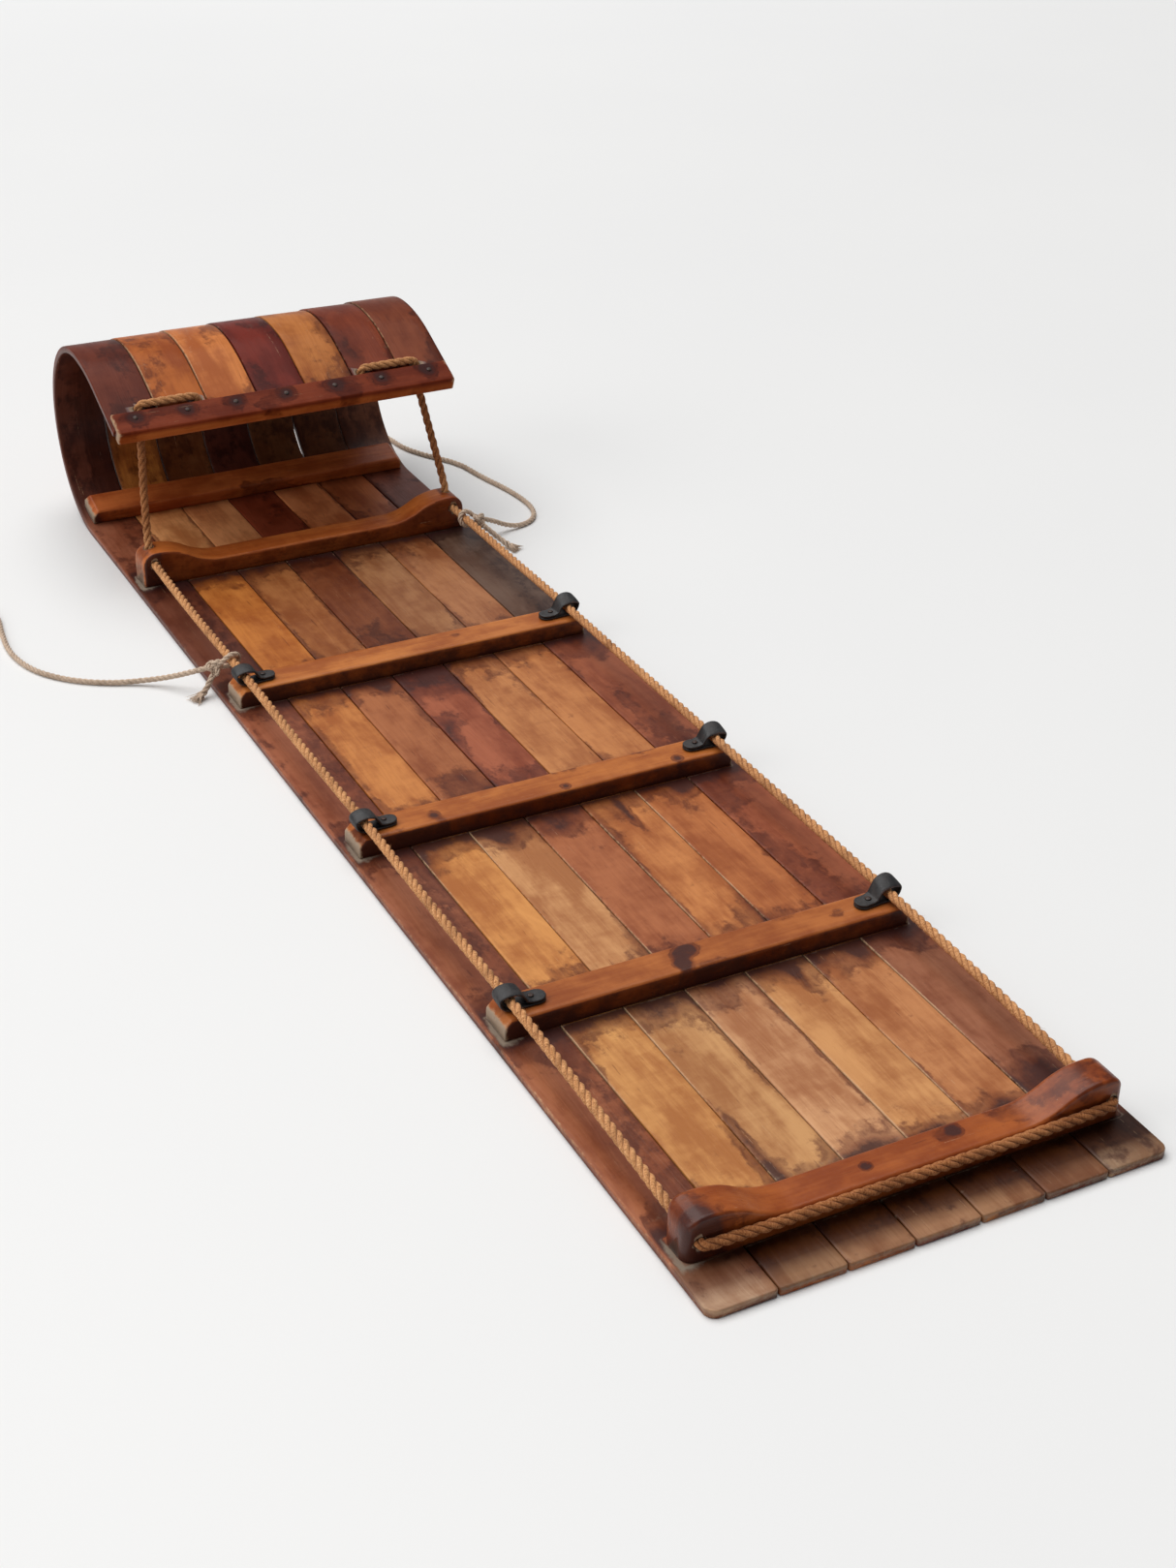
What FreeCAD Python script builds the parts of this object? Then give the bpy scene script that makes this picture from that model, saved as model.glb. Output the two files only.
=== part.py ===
import FreeCAD, Part
import math
import os
import Sketcher

# A wooden toboggan: seven bent slats held by a foot bar, three crossbars and two yokes, a side
# rope that runs through leather loops, and a pull cord tied to the side rope on each side.
# Frame: +Z up, +Y towards the curled nose, +X to the right of a rider who faces the nose.
# The origin is on the ground under the middle of the toboggan, measured without its pull cords.

doc = FreeCAD.newDocument("toboggan")
V = FreeCAD.Vector
X_AXIS = V(1, 0, 0)
Y_AXIS = V(0, 1, 0)
Z_AXIS = V(0, 0, 1)
SIDES = (("left", -1), ("right", 1))

# ---------------------------------------------------------------- driving dimensions (mm, degrees)

DIMENSIONS = (
    ("overall_length", 1777),
    ("slat_count", 7),
    ("slat_pitch", 65.4),
    ("slat_width", 64.6),
    ("slat_thickness", 9),
    ("slat_edge", 1.2),
    ("curl_radius", 127),
    ("crown_radius", 200),
    ("descent_angle", 24),
    ("tip_length", 84),
    ("bar_length", 440),
    ("bar_depth", 42),
    ("bar_height", 21),
    ("bar_edge", 4),
    ("bar_end_bevel", 6),
    ("crossbar_one_place", 227.5),
    ("crossbar_two_place", -129.5),
    ("crossbar_three_place", -476.5),
    ("foot_bar_depth", 40),
    ("foot_bar_height", 20),
    ("foot_bar_angle", 15.5),
    ("foot_bar_scribing", 2),
    ("yoke_length", 438),
    ("yoke_depth", 38),
    ("yoke_end_height", 44),
    ("yoke_middle_height", 21.5),
    ("yoke_middle_half", 114),
    ("yoke_curve", 80),
    ("yoke_corner", 18),
    ("yoke_edge", 3),
    ("front_yoke_place", 576.5),
    ("rear_yoke_place", -813.5),
    ("batten_length", 450),
    ("batten_lip", 25),
    ("batten_tail", 12),
    ("batten_cover", 6),
    ("batten_drop", 12),
    ("batten_edge", 2.5),
    ("batten_nail_line", 12),
    ("rope_diameter", 10),
    ("rope_bore", 10.6),
    ("rope_line", 206),
    ("rope_height", 39.6),
    ("rope_inner_hole", 110),
    ("rope_outer_hole", 187),
    ("rope_hole_from_tip", 31.5),
    ("yoke_bore_line", 204),
    ("yoke_bore_ahead", 5),
    ("yoke_bore_height", 38),
    ("rear_bore_height", 29),
    ("rope_entry_lift", 2),
    ("rope_exit_run", 4),
    ("rope_climb_run", 60),
    ("rope_entry_run", 12),
    ("stopper_diameter", 25),
    ("stopper_cut_angle", 60),
    ("strap_thickness", 3),
    ("strap_width", 19),
    ("strap_outer_radius", 12.5),
    ("strap_ring_line", 207),
    ("strap_nail_line", 184),
    ("strap_inner_end", 169),
    ("strap_fold", 193),
    ("strap_end_radius", 8),
    ("running_gap", 0.3),
    ("nail_diameter", 2.8),
    ("nail_clearance", 0.1),
    ("nail_head", 6.6),
    ("nail_head_height", 1.6),
    ("nail_length", 21),
    ("nail_stop", 1),
    ("strap_nail_lift", 2),
    ("screw_diameter", 4),
    ("screw_head", 8.4),
    ("screw_head_height", 2.4),
    ("screw_length", 23),
    ("screw_sink", 0.3),
    ("cord_diameter", 6.5),
    ("cord_rest_gap", 0.15),
    ("coil_radius", 35),
    ("coil_rest_gap", 0.1),
    ("end_knot_inset", 1),
    ("pull_knot_diameter", 21),
)

sheet = doc.addObject("Spreadsheet::Sheet", "Dims")
for row, (alias, value) in enumerate(DIMENSIONS, start=1):
    sheet.set("A%d" % row, alias)
    sheet.set("B%d" % row, str(value))
    sheet.setAlias("B%d" % row, alias)
doc.recompute()


def dim(alias):
    """The value of one cell of the sheet."""
    return float(sheet.get(alias))


# ---------------------------------------------------------------- places worked out from the dimensions

LENGTH = dim("overall_length")
THICK = dim("slat_thickness")
CURL = dim("curl_radius")
CROWN = dim("crown_radius")
DESCENT = math.radians(dim("descent_angle"))
CURL_CENTRE = V(0, LENGTH / 2 - CURL, CURL)
ALONG_TIP = V(0, math.cos(DESCENT), math.sin(DESCENT))
OFF_TIP = V(0, -math.sin(DESCENT), math.cos(DESCENT))
CROWN_END = V(0, CURL_CENTRE.y - CROWN * math.sin(DESCENT), 2 * CURL - CROWN * (1 - math.cos(DESCENT)))
TIP = CROWN_END - ALONG_TIP * dim("tip_length")
TIP_TURN = FreeCAD.Rotation(X_AXIS, dim("descent_angle"))
SLAT_MIDDLES = [(k - (dim("slat_count") - 1) / 2) * dim("slat_pitch") for k in range(int(dim("slat_count")))]
DECK_BARS = (
    ("front_yoke", dim("front_yoke_place")),
    ("crossbar_1", dim("crossbar_one_place")),
    ("crossbar_2", dim("crossbar_two_place")),
    ("crossbar_3", dim("crossbar_three_place")),
    ("rear_yoke", dim("rear_yoke_place")),
)
ROPE_HOLE = TIP + ALONG_TIP * dim("rope_hole_from_tip")
FOOT_TURN = FreeCAD.Rotation(X_AXIS, dim("foot_bar_angle"))

# ---------------------------------------------------------------- helpers

nodes = {}
NEAR = 0.01


def keep(thing, label):
    """Makes a document object one of the toboggan's pieces."""
    thing.Label = label
    nodes[label] = thing
    return thing


def feature(label, shape):
    """A piece whose shape is set by Part's own functions."""
    thing = doc.addObject("Part::Feature", label)
    thing.Shape = shape
    return thing


def cut(label, base, tool):
    thing = doc.addObject("Part::Cut", label)
    thing.Base = base
    thing.Tool = tool
    return thing


def new_body(label):
    return doc.addObject("PartDesign::Body", label + "_body")


def plane_of(body, role):
    for plane in body.Origin.OriginFeatures:
        if plane.Role == role:
            return plane
    raise RuntimeError("no plane " + role)


def new_sketch(body, name, role):
    sketch = body.newObject("Sketcher::SketchObject", name)
    sketch.AttachmentSupport = [(plane_of(body, role), "")]
    sketch.MapMode = "FlatFace"
    return sketch


def driven(sketch, kind, where, value, expression):
    """One dimension of a sketch, bound to the sheet."""
    index = sketch.addConstraint(Sketcher.Constraint(kind, *where, value))
    sketch.setExpression("Constraints[%d]" % index, expression)


def pin(sketch, line, end, across, up):
    """Places one end of a line or arc; across and up are expressions of the sheet."""
    point = sketch.getPoint(line, end)
    for kind, value, expression in (("DistanceX", point.x, across), ("DistanceY", point.y, up)):
        if expression is not None:
            driven(sketch, kind, (-1, 1, line, end), value, expression)


def polygon(sketch, corners):
    """A closed outline of straight lines; each corner is (x, y, across, up)."""
    first = sketch.GeometryCount
    count = len(corners)
    for k in range(count):
        a = corners[k]
        b = corners[(k + 1) % count]
        sketch.addGeometry(Part.LineSegment(V(a[0], a[1], 0), V(b[0], b[1], 0)), False)
    for k in range(count):
        sketch.addConstraint(Sketcher.Constraint("Coincident", first + k, 2, first + (k + 1) % count, 1))
    for k, corner in enumerate(corners):
        pin(sketch, first + k, 1, corner[2], corner[3])


def arc(sketch, centre, radius, start, end):
    """Adds an arc that runs anticlockwise from start to end, in degrees."""
    circle = Part.Circle(V(centre[0], centre[1], 0), Z_AXIS, radius)
    return sketch.addGeometry(Part.ArcOfCircle(circle, math.radians(start), math.radians(end)), False)


def line(sketch, a, b):
    return sketch.addGeometry(Part.LineSegment(V(a[0], a[1], 0), V(b[0], b[1], 0)), False)


def tangent(sketch, first, first_end, second, second_end):
    sketch.addConstraint(Sketcher.Constraint("Tangent", first, first_end, second, second_end))


def pad(body, sketch, name, expression):
    """Pads a sketch by the same amount to both sides of its plane."""
    thing = body.newObject("PartDesign::Pad", name)
    thing.Profile = sketch
    thing.setExpression("Length", expression)
    thing.Midplane = True
    doc.recompute()
    return thing


def edges_where(shape, test):
    """The names of the edges whose middle points pass a test."""
    names = []
    for number, edge in enumerate(shape.Edges, start=1):
        middle = edge.valueAt((edge.FirstParameter + edge.LastParameter) / 2)
        if test(edge, middle):
            names.append("Edge%d" % number)
    return names


def dress(body, kind, name, base, edges, prop, expression):
    """A fillet or chamfer on named edges of a body's last feature."""
    thing = body.newObject("PartDesign::" + kind, name)
    thing.Base = (base, edges)
    thing.setExpression(prop, expression)
    doc.recompute()
    return thing


def rounded_route(points, radii):
    """Straight runs joined by tangent arcs: one radius for each inner point."""
    edges = []
    start = points[0]
    for before, corner, after, radius in zip(points, points[1:], points[2:], radii):
        inward = (before - corner).normalize()
        outward = (after - corner).normalize()
        half_turn = (math.pi - inward.getAngle(outward)) / 2
        setback = radius * math.tan(half_turn)
        first = corner + inward * setback
        last = corner + outward * setback
        bisector = (inward + outward).normalize()
        centre = corner + bisector * (radius / math.cos(half_turn))
        middle = centre - bisector * radius
        edges.append(Part.LineSegment(start, first).toShape())
        edges.append(Part.Arc(first, middle, last).toShape())
        start = last
    edges.append(Part.LineSegment(start, points[-1]).toShape())
    return Part.Wire(edges)


def free_radii(points):
    """The largest arc that each corner's two runs allow."""
    share = 0.45
    radii = []
    for before, corner, after in zip(points, points[1:], points[2:]):
        half_turn = (math.pi - (before - corner).getAngle(after - corner)) / 2
        shorter = min((before - corner).Length, (after - corner).Length)
        radii.append(share * shorter / math.tan(half_turn))
    return radii


def tube(label, points, radii, diameter):
    """A round solid of one diameter along a rounded route."""
    route = rounded_route(points, radii)
    ring = Part.Circle(points[0], points[1] - points[0], diameter / 2).toShape()
    solid = route.makePipeShell([Part.Wire([ring])], True, False)
    ideal = math.pi * diameter ** 2 / 4 * route.Length
    print(label, "length", round(route.Length, 1), "radii", [round(r, 1) for r in radii],
          "volume over section times length", round(solid.Volume / ideal, 4))
    return feature(label, solid)


# ---------------------------------------------------------------- screws and nails

def screw(foot, direction):
    """A countersunk wood screw: foot is where its axis meets the face it is driven into."""
    head = dim("screw_head_height")
    shank = dim("screw_diameter") / 2
    tip = 3 * shank
    start = foot + direction * dim("screw_sink")
    cone = Part.makeCone(dim("screw_head") / 2, shank, head, start, direction)
    middle = Part.makeCylinder(shank, dim("screw_length") - head - tip, start + direction * head, direction)
    point = Part.makeCone(shank, 0, tip, start + direction * (dim("screw_length") - tip), direction)
    return cone.fuse([middle, point]).removeSplitter()


def screw_bore(foot, direction):
    """The room a screw takes, open at the face it is driven into."""
    mouth = Part.makeCylinder(dim("screw_head") / 2, dim("screw_sink"), foot, direction)
    return screw(foot, direction).fuse(mouth).removeSplitter()


def nail(top, direction):
    """A nail with a domed head that sits on top; direction is the way it is driven."""
    crown = dim("nail_head_height")
    wide = dim("nail_head") / 2
    shank = Part.makeCylinder(dim("nail_diameter") / 2, dim("nail_length"), top, direction)
    ball_radius = (wide ** 2 + crown ** 2) / (2 * crown)
    ball = Part.makeSphere(ball_radius, top + direction * (ball_radius - crown))
    slab = Part.makeCylinder(2 * wide, 2 * crown, top, direction * -1)
    return ball.common(slab).fuse(shank).removeSplitter()


def nail_bore(top, direction):
    """The room a nail's shank takes."""
    return Part.makeCylinder(dim("nail_diameter") / 2, dim("nail_length"), top, direction)


def screw_places(bar):
    """The foot and direction of the screw of each slat in one bar."""
    if bar == "foot_bar":
        inward = FOOT_TURN.multVec(Z_AXIS)
        foot = CURL_CENTRE - inward * CURL
        return [(V(x, foot.y, foot.z), inward) for x in SLAT_MIDDLES]
    return [(V(x, dict(DECK_BARS)[bar], 0), Z_AXIS) for x in SLAT_MIDDLES]


BARS = ["foot_bar"] + [name for name, place in DECK_BARS]
BATTEN_NAILS = [
    (V(x, TIP.y, TIP.z) + ALONG_TIP * dim("batten_nail_line") + OFF_TIP * dim("batten_cover"), OFF_TIP * -1)
    for x in SLAT_MIDDLES
]
BATTEN_NAIL_LENGTH = dim("batten_cover") + THICK - dim("nail_stop")


def batten_nail(place):
    """A nail through the batten's lip that stops just short of the slat's inner face."""
    top, direction = place
    spare = dim("nail_length") - BATTEN_NAIL_LENGTH
    stub = Part.makeCylinder(dim("nail_diameter"), spare, top + direction * BATTEN_NAIL_LENGTH, direction)
    return nail(top, direction).cut(stub)


# ---------------------------------------------------------------- slats

def slat_blank(label, middle):
    """One bent slat: an eased rectangle swept along the deck, the curl and the descent to the tip."""
    body = new_body(label)
    spine = new_sketch(body, label + "_bend", "YZ_Plane")
    deck_end = (CURL_CENTRE.y, 0)
    crown_centre = (CURL_CENTRE.y, 2 * CURL - CROWN)
    deck = line(spine, (-LENGTH / 2, 0), deck_end)
    curl = arc(spine, (CURL_CENTRE.y, CURL), CURL, -90, 90)
    crown = arc(spine, crown_centre, CROWN, 90, 90 + dim("descent_angle"))
    descent = line(spine, (CROWN_END.y, CROWN_END.z), (TIP.y, TIP.z))
    spine.addConstraint(Sketcher.Constraint("Horizontal", deck))
    pin(spine, deck, 1, "-Dims.overall_length / 2", "0")
    tangent(spine, deck, 2, curl, 1)
    tangent(spine, curl, 2, crown, 1)
    tangent(spine, crown, 2, descent, 1)
    driven(spine, "Radius", (curl,), CURL, "Dims.curl_radius")
    driven(spine, "Radius", (crown,), CROWN, "Dims.crown_radius")
    pin(spine, curl, 3, "Dims.overall_length / 2 - Dims.curl_radius", None)
    spine.addConstraint(Sketcher.Constraint("Vertical", curl, 3, curl, 2))
    run = dim("tip_length")
    driven(spine, "DistanceX", (descent, 2, descent, 1), run * math.cos(DESCENT),
           "Dims.tip_length * cos(Dims.descent_angle)")
    driven(spine, "DistanceY", (descent, 2, descent, 1), run * math.sin(DESCENT),
           "Dims.tip_length * sin(Dims.descent_angle)")

    profile = new_sketch(body, label + "_section", "XZ_Plane")
    profile.setExpression("AttachmentOffset.Base.z", "Dims.overall_length / 2")
    half = dim("slat_width") / 2
    eased = dim("slat_edge")
    wide = "%sDims.slat_width / 2"
    narrow = "%s(Dims.slat_width / 2 - Dims.slat_edge)"
    low = "Dims.slat_edge"
    high = "Dims.slat_thickness - Dims.slat_edge"
    top = "Dims.slat_thickness"
    polygon(profile, (
        (-half + eased, 0, narrow % "-", "0"),
        (half - eased, 0, narrow % "", "0"),
        (half, eased, wide % "", low),
        (half, THICK - eased, wide % "", high),
        (half - eased, THICK, narrow % "", top),
        (-half + eased, THICK, narrow % "-", top),
        (-half, THICK - eased, wide % "-", high),
        (-half, eased, wide % "-", low),
    ))
    doc.recompute()
    sweep = body.newObject("PartDesign::AdditivePipe", label + "_sweep")
    sweep.Profile = profile
    sweep.Spine = spine
    body.Tip = sweep
    body.Placement = FreeCAD.Placement(V(middle, 0, 0), FreeCAD.Rotation())
    doc.recompute()
    return body


def slat_bores(middle):
    """Everything that is drilled out of the slat whose middle is at this x."""
    half_pitch = dim("slat_pitch") / 2
    bores = [screw_bore(*place) for bar in BARS for place in screw_places(bar)
             if abs(place[0].x - middle) < half_pitch]
    bores += [nail_bore(top, direction) for top, direction in BATTEN_NAILS
              if abs(top.x - middle) < half_pitch]
    deep = 4 * THICK
    for name, side in SIDES:
        for hole in ("rope_inner_hole", "rope_outer_hole"):
            x = side * dim(hole)
            if abs(x - middle) < half_pitch:
                foot = V(x, ROPE_HOLE.y, ROPE_HOLE.z - deep / 2)
                bores.append(Part.makeCylinder(dim("rope_bore") / 2, deep, foot, Z_AXIS))
    return Part.makeCompound(bores)


for number, middle in enumerate(SLAT_MIDDLES, start=1):
    label = "slat_%d" % number
    blank = slat_blank(label, middle)
    drilled = cut(label, blank, feature(label + "_bores", slat_bores(middle)))
    keep(drilled, label)


# ---------------------------------------------------------------- bars and yokes

def bar_bores(bar):
    return Part.makeCompound([screw_bore(*place) for place in screw_places(bar)])


def crossbar(label, place):
    """A plain crossbar with rounded top edges and bevelled ends, screwed on from below."""
    body = new_body(label)
    plan = new_sketch(body, label + "_plan", "XY_Plane")
    a = dim("bar_length") / 2
    b = dim("bar_depth") / 2
    polygon(plan, [
        (sx * a, sy * b, "%d * Dims.bar_length / 2" % sx, "%d * Dims.bar_depth / 2" % sy)
        for sx, sy in ((-1, -1), (1, -1), (1, 1), (-1, 1))
    ])
    block = body.newObject("PartDesign::Pad", label + "_block")
    block.Profile = plan
    block.setExpression("Length", "Dims.bar_height")
    doc.recompute()
    top = dim("bar_height")
    ends = edges_where(block.Shape, lambda e, m: abs(m.z - top) < NEAR and abs(abs(m.x) - a) < NEAR)
    bevel = dress(body, "Chamfer", label + "_bevel", block, ends, "Size", "Dims.bar_end_bevel")
    sides = edges_where(bevel.Shape, lambda e, m: abs(m.z - top) < NEAR and abs(abs(m.y) - b) < NEAR)
    rounded = dress(body, "Fillet", label + "_round", bevel, sides, "Radius", "Dims.bar_edge")
    body.Tip = rounded
    body.Placement = FreeCAD.Placement(V(0, place, THICK), FreeCAD.Rotation())
    bores = list(bar_bores(label).Solids)
    for name, side in SIDES:
        nail_top = V(side * dim("strap_nail_line"), place, THICK + top + dim("strap_nail_lift"))
        bores.append(nail_bore(nail_top, Z_AXIS * -1))
    return cut(label, body, feature(label + "_bores", Part.makeCompound(bores)))


def yoke(label, place, rope_bores):
    """A yoke: a bar whose two ends stand up to hold the side rope."""
    body = new_body(label)
    half = new_sketch(body, label + "_half", "XZ_Plane")
    a = dim("yoke_length") / 2
    high = dim("yoke_end_height")
    low = dim("yoke_middle_height")
    flat = dim("yoke_middle_half")
    bend = dim("yoke_curve")
    corner = dim("yoke_corner")
    swing = math.acos(1 - (high - low) / (2 * bend))
    crest = flat + 2 * bend * math.sin(swing)
    turn = math.degrees(swing)
    mid = (flat + bend * math.sin(swing), low + bend * (1 - math.cos(swing)))
    base = line(half, (0, 0), (a, 0))
    end = line(half, (a, 0), (a, high - corner))
    shoulder = arc(half, (a - corner, high - corner), corner, 0, 90)
    top = line(half, (a - corner, high), (crest, high))
    convex = arc(half, (crest, high - bend), bend, 90, 90 + turn)
    concave = arc(half, (flat, low + bend), bend, -90, turn - 90)
    middle = line(half, (flat, low), (0, low))
    axis = line(half, (0, low), (0, 0))
    for first, second in ((base, end), (middle, axis), (axis, base)):
        half.addConstraint(Sketcher.Constraint("Coincident", first, 2, second, 1))
    tangent(half, end, 2, shoulder, 1)
    tangent(half, shoulder, 2, top, 1)
    tangent(half, top, 2, convex, 1)
    tangent(half, convex, 2, concave, 2)
    tangent(half, concave, 1, middle, 1)
    for upright in (end, axis):
        half.addConstraint(Sketcher.Constraint("Vertical", upright))
    for level in (base, top, middle):
        half.addConstraint(Sketcher.Constraint("Horizontal", level))
    pin(half, base, 1, "0", "0")
    pin(half, base, 2, "Dims.yoke_length / 2", None)
    pin(half, top, 1, None, "Dims.yoke_end_height")
    pin(half, middle, 1, "Dims.yoke_middle_half", "Dims.yoke_middle_height")
    driven(half, "Radius", (shoulder,), corner, "Dims.yoke_corner")
    driven(half, "Radius", (convex,), bend, "Dims.yoke_curve")
    driven(half, "Radius", (concave,), bend, "Dims.yoke_curve")
    right = pad(body, half, label + "_right", "Dims.yoke_depth")
    whole = body.newObject("PartDesign::Mirrored", label + "_whole")
    whole.Originals = [right]
    whole.MirrorPlane = (plane_of(body, "YZ_Plane"), [""])
    body.Tip = whole
    doc.recompute()
    edge_line = dim("yoke_depth") / 2
    rims = edges_where(whole.Shape, lambda e, m: m.z > NEAR and abs(abs(m.y) - edge_line) < NEAR
                       and abs(m.x) > NEAR)
    rounded = dress(body, "Fillet", label + "_round", whole, rims, "Radius", "Dims.yoke_edge")
    body.Tip = rounded
    body.Placement = FreeCAD.Placement(V(0, place, THICK), FreeCAD.Rotation())
    bores = list(bar_bores(label).Solids) + rope_bores
    return cut(label, body, feature(label + "_bores", Part.makeCompound(bores)))


for label, place in DECK_BARS[1:4]:
    keep(crossbar(label, place), label)

BORE_RADIUS = dim("rope_bore") / 2
FRONT_BORE_Y = dim("front_yoke_place") + dim("yoke_bore_ahead")
front_bores = []
rear_bores = []
for name, side in SIDES:
    x = side * dim("yoke_bore_line")
    z = dim("yoke_bore_height")
    well = Part.makeCylinder(BORE_RADIUS, dim("yoke_end_height"), V(x, FRONT_BORE_Y, z), Z_AXIS)
    knee = Part.makeSphere(BORE_RADIUS, V(x, FRONT_BORE_Y, z))
    way_out = Part.makeCylinder(BORE_RADIUS, dim("yoke_depth"), V(x, FRONT_BORE_Y, z), Y_AXIS * -1)
    front_bores.append(well.fuse([knee, way_out]).removeSplitter())
    across = V(side * dim("rope_line"), dim("rear_yoke_place") - dim("yoke_depth"), dim("rear_bore_height"))
    rear_bores.append(Part.makeCylinder(BORE_RADIUS, 2 * dim("yoke_depth"), across, Y_AXIS))
keep(yoke("front_yoke", dim("front_yoke_place"), front_bores), "front_yoke")
keep(yoke("rear_yoke", dim("rear_yoke_place"), rear_bores), "rear_yoke")


def foot_bar():
    """The bar under the rider's feet, its underside scribed to the start of the curl."""
    block = doc.addObject("Part::Box", "foot_bar_block")
    block.setExpression("Length", "Dims.bar_length")
    block.setExpression("Width", "Dims.foot_bar_depth")
    block.setExpression("Height", "Dims.foot_bar_height + Dims.foot_bar_scribing")
    inner = CURL - THICK
    corner = V(-dim("bar_length") / 2, -dim("foot_bar_depth") / 2, -inner - dim("foot_bar_scribing"))
    block.Placement = FreeCAD.Placement(CURL_CENTRE + FOOT_TURN.multVec(corner), FOOT_TURN)
    bend = doc.addObject("Part::Cylinder", "foot_bar_bend")
    bend.setExpression("Radius", "Dims.curl_radius - Dims.slat_thickness")
    bend.setExpression("Height", "Dims.bar_length * 2")
    start = V(-dim("bar_length"), CURL_CENTRE.y, CURL_CENTRE.z)
    bend.Placement = FreeCAD.Placement(start, FreeCAD.Rotation(Y_AXIS, 90))
    scribed = doc.addObject("Part::Common", "foot_bar_scribed")
    scribed.Base = block
    scribed.Tool = bend
    doc.recompute()
    eased = doc.addObject("Part::Fillet", "foot_bar_round")
    eased.Base = scribed
    upper = inner - dim("foot_bar_height")
    picked = []
    for number, edge in enumerate(scribed.Shape.Edges, start=1):
        middle = edge.valueAt((edge.FirstParameter + edge.LastParameter) / 2) - CURL_CENTRE
        height = -middle.dot(FOOT_TURN.multVec(Z_AXIS))
        if abs(height - upper) < NEAR:
            picked.append((number, dim("bar_edge"), dim("bar_edge")))
    eased.Edges = picked
    bores = feature("foot_bar_bores", bar_bores("foot_bar"))
    return cut("foot_bar", eased, bores)


keep(foot_bar(), "foot_bar")


def nose_batten():
    """The batten that caps the slats' ends: a lip on top and a step behind them."""
    body = new_body("nose_batten")
    section = new_sketch(body, "nose_batten_section", "YZ_Plane")
    lip = dim("batten_lip")
    tail = dim("batten_tail")
    cover = dim("batten_cover")
    drop = dim("batten_drop")
    edge = dim("batten_edge")
    polygon(section, (
        (0, 0, "0", "0"),
        (lip, 0, "Dims.batten_lip", "0"),
        (lip, cover - edge, "Dims.batten_lip", "Dims.batten_cover - Dims.batten_edge"),
        (lip - edge, cover, "Dims.batten_lip - Dims.batten_edge", "Dims.batten_cover"),
        (edge - tail, cover, "Dims.batten_edge - Dims.batten_tail", "Dims.batten_cover"),
        (-tail, cover - edge, "-Dims.batten_tail", "Dims.batten_cover - Dims.batten_edge"),
        (-tail, -drop, "-Dims.batten_tail", "-Dims.batten_drop"),
        (0, -drop, "0", "-Dims.batten_drop"),
    ))
    body.Tip = pad(body, section, "nose_batten_pad", "Dims.batten_length")
    body.Placement = FreeCAD.Placement(TIP, TIP_TURN)
    bores = Part.makeCompound([nail_bore(top, direction) for top, direction in BATTEN_NAILS])
    return cut("nose_batten", body, feature("nose_batten_bores", bores))


keep(nose_batten(), "nose_batten")

for bar in BARS:
    screws = [screw(*place) for place in screw_places(bar)]
    keep(feature(bar + "_screws", Part.makeCompound(screws)), bar + "_screws")
batten_nails = Part.makeCompound([batten_nail(place) for place in BATTEN_NAILS])
keep(feature("nose_batten_nails", batten_nails), "nose_batten_nails")


# ---------------------------------------------------------------- leather loops

BAR_TOP = THICK + dim("bar_height")
STRAP_BOTTOM = BAR_TOP + dim("running_gap")
LOOP_PLACES = [(number, place) for number, (name, place) in enumerate(DECK_BARS[1:4], start=1)]


def strap_outline(sketch):
    """The edge-on shape of a strap: two plies under the nail and a round eye for the rope."""
    ply = dim("strap_thickness")
    ring = dim("strap_outer_radius")
    centre = (dim("strap_ring_line"), ring)
    inner_end = dim("strap_inner_end")
    fold = dim("strap_fold")
    reach = math.hypot(centre[0] - fold, centre[1] - 2 * ply)
    lean = math.atan2(centre[1] - 2 * ply, centre[0] - fold)
    slope = lean + math.asin(ring / reach)
    turn = math.degrees(slope) + 90
    touch = (centre[0] - ring * math.sin(slope), centre[1] + ring * math.cos(slope))
    bottom = line(sketch, (inner_end, 0), (centre[0], 0))
    outer = arc(sketch, centre, ring, -90, turn)
    fall = line(sketch, touch, (fold, 2 * ply))
    upper = line(sketch, (fold, 2 * ply), (inner_end, 2 * ply))
    end = line(sketch, (inner_end, 2 * ply), (inner_end, 0))
    for first, second in ((fall, upper), (upper, end), (end, bottom)):
        sketch.addConstraint(Sketcher.Constraint("Coincident", first, 2, second, 1))
    tangent(sketch, bottom, 2, outer, 1)
    tangent(sketch, outer, 2, fall, 1)
    sketch.addConstraint(Sketcher.Constraint("Horizontal", bottom))
    driven(sketch, "Radius", (outer,), ring, "Dims.strap_outer_radius")
    pin(sketch, bottom, 1, "Dims.strap_inner_end", "0")
    pin(sketch, outer, 3, "Dims.strap_ring_line", None)
    pin(sketch, upper, 1, "Dims.strap_fold", "2 * Dims.strap_thickness")
    pin(sketch, end, 1, "Dims.strap_inner_end", "2 * Dims.strap_thickness")

    eye = ring - ply
    inner_touch = (centre[0] - eye * math.sin(slope), centre[1] + eye * math.cos(slope))
    apex_x = inner_touch[0] - (inner_touch[1] - ply) / math.tan(slope)
    floor = line(sketch, (apex_x, ply), (centre[0], ply))
    inside = arc(sketch, centre, eye, -90, turn)
    roof = line(sketch, inner_touch, (apex_x, ply))
    tangent(sketch, floor, 2, inside, 1)
    tangent(sketch, inside, 2, roof, 1)
    sketch.addConstraint(Sketcher.Constraint("Coincident", roof, 2, floor, 1))
    sketch.addConstraint(Sketcher.Constraint("Horizontal", floor))
    sketch.addConstraint(Sketcher.Constraint("Coincident", inside, 3, outer, 3))
    sketch.addConstraint(Sketcher.Constraint("Parallel", roof, fall))
    driven(sketch, "Radius", (inside,), eye, "Dims.strap_outer_radius - Dims.strap_thickness")


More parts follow.
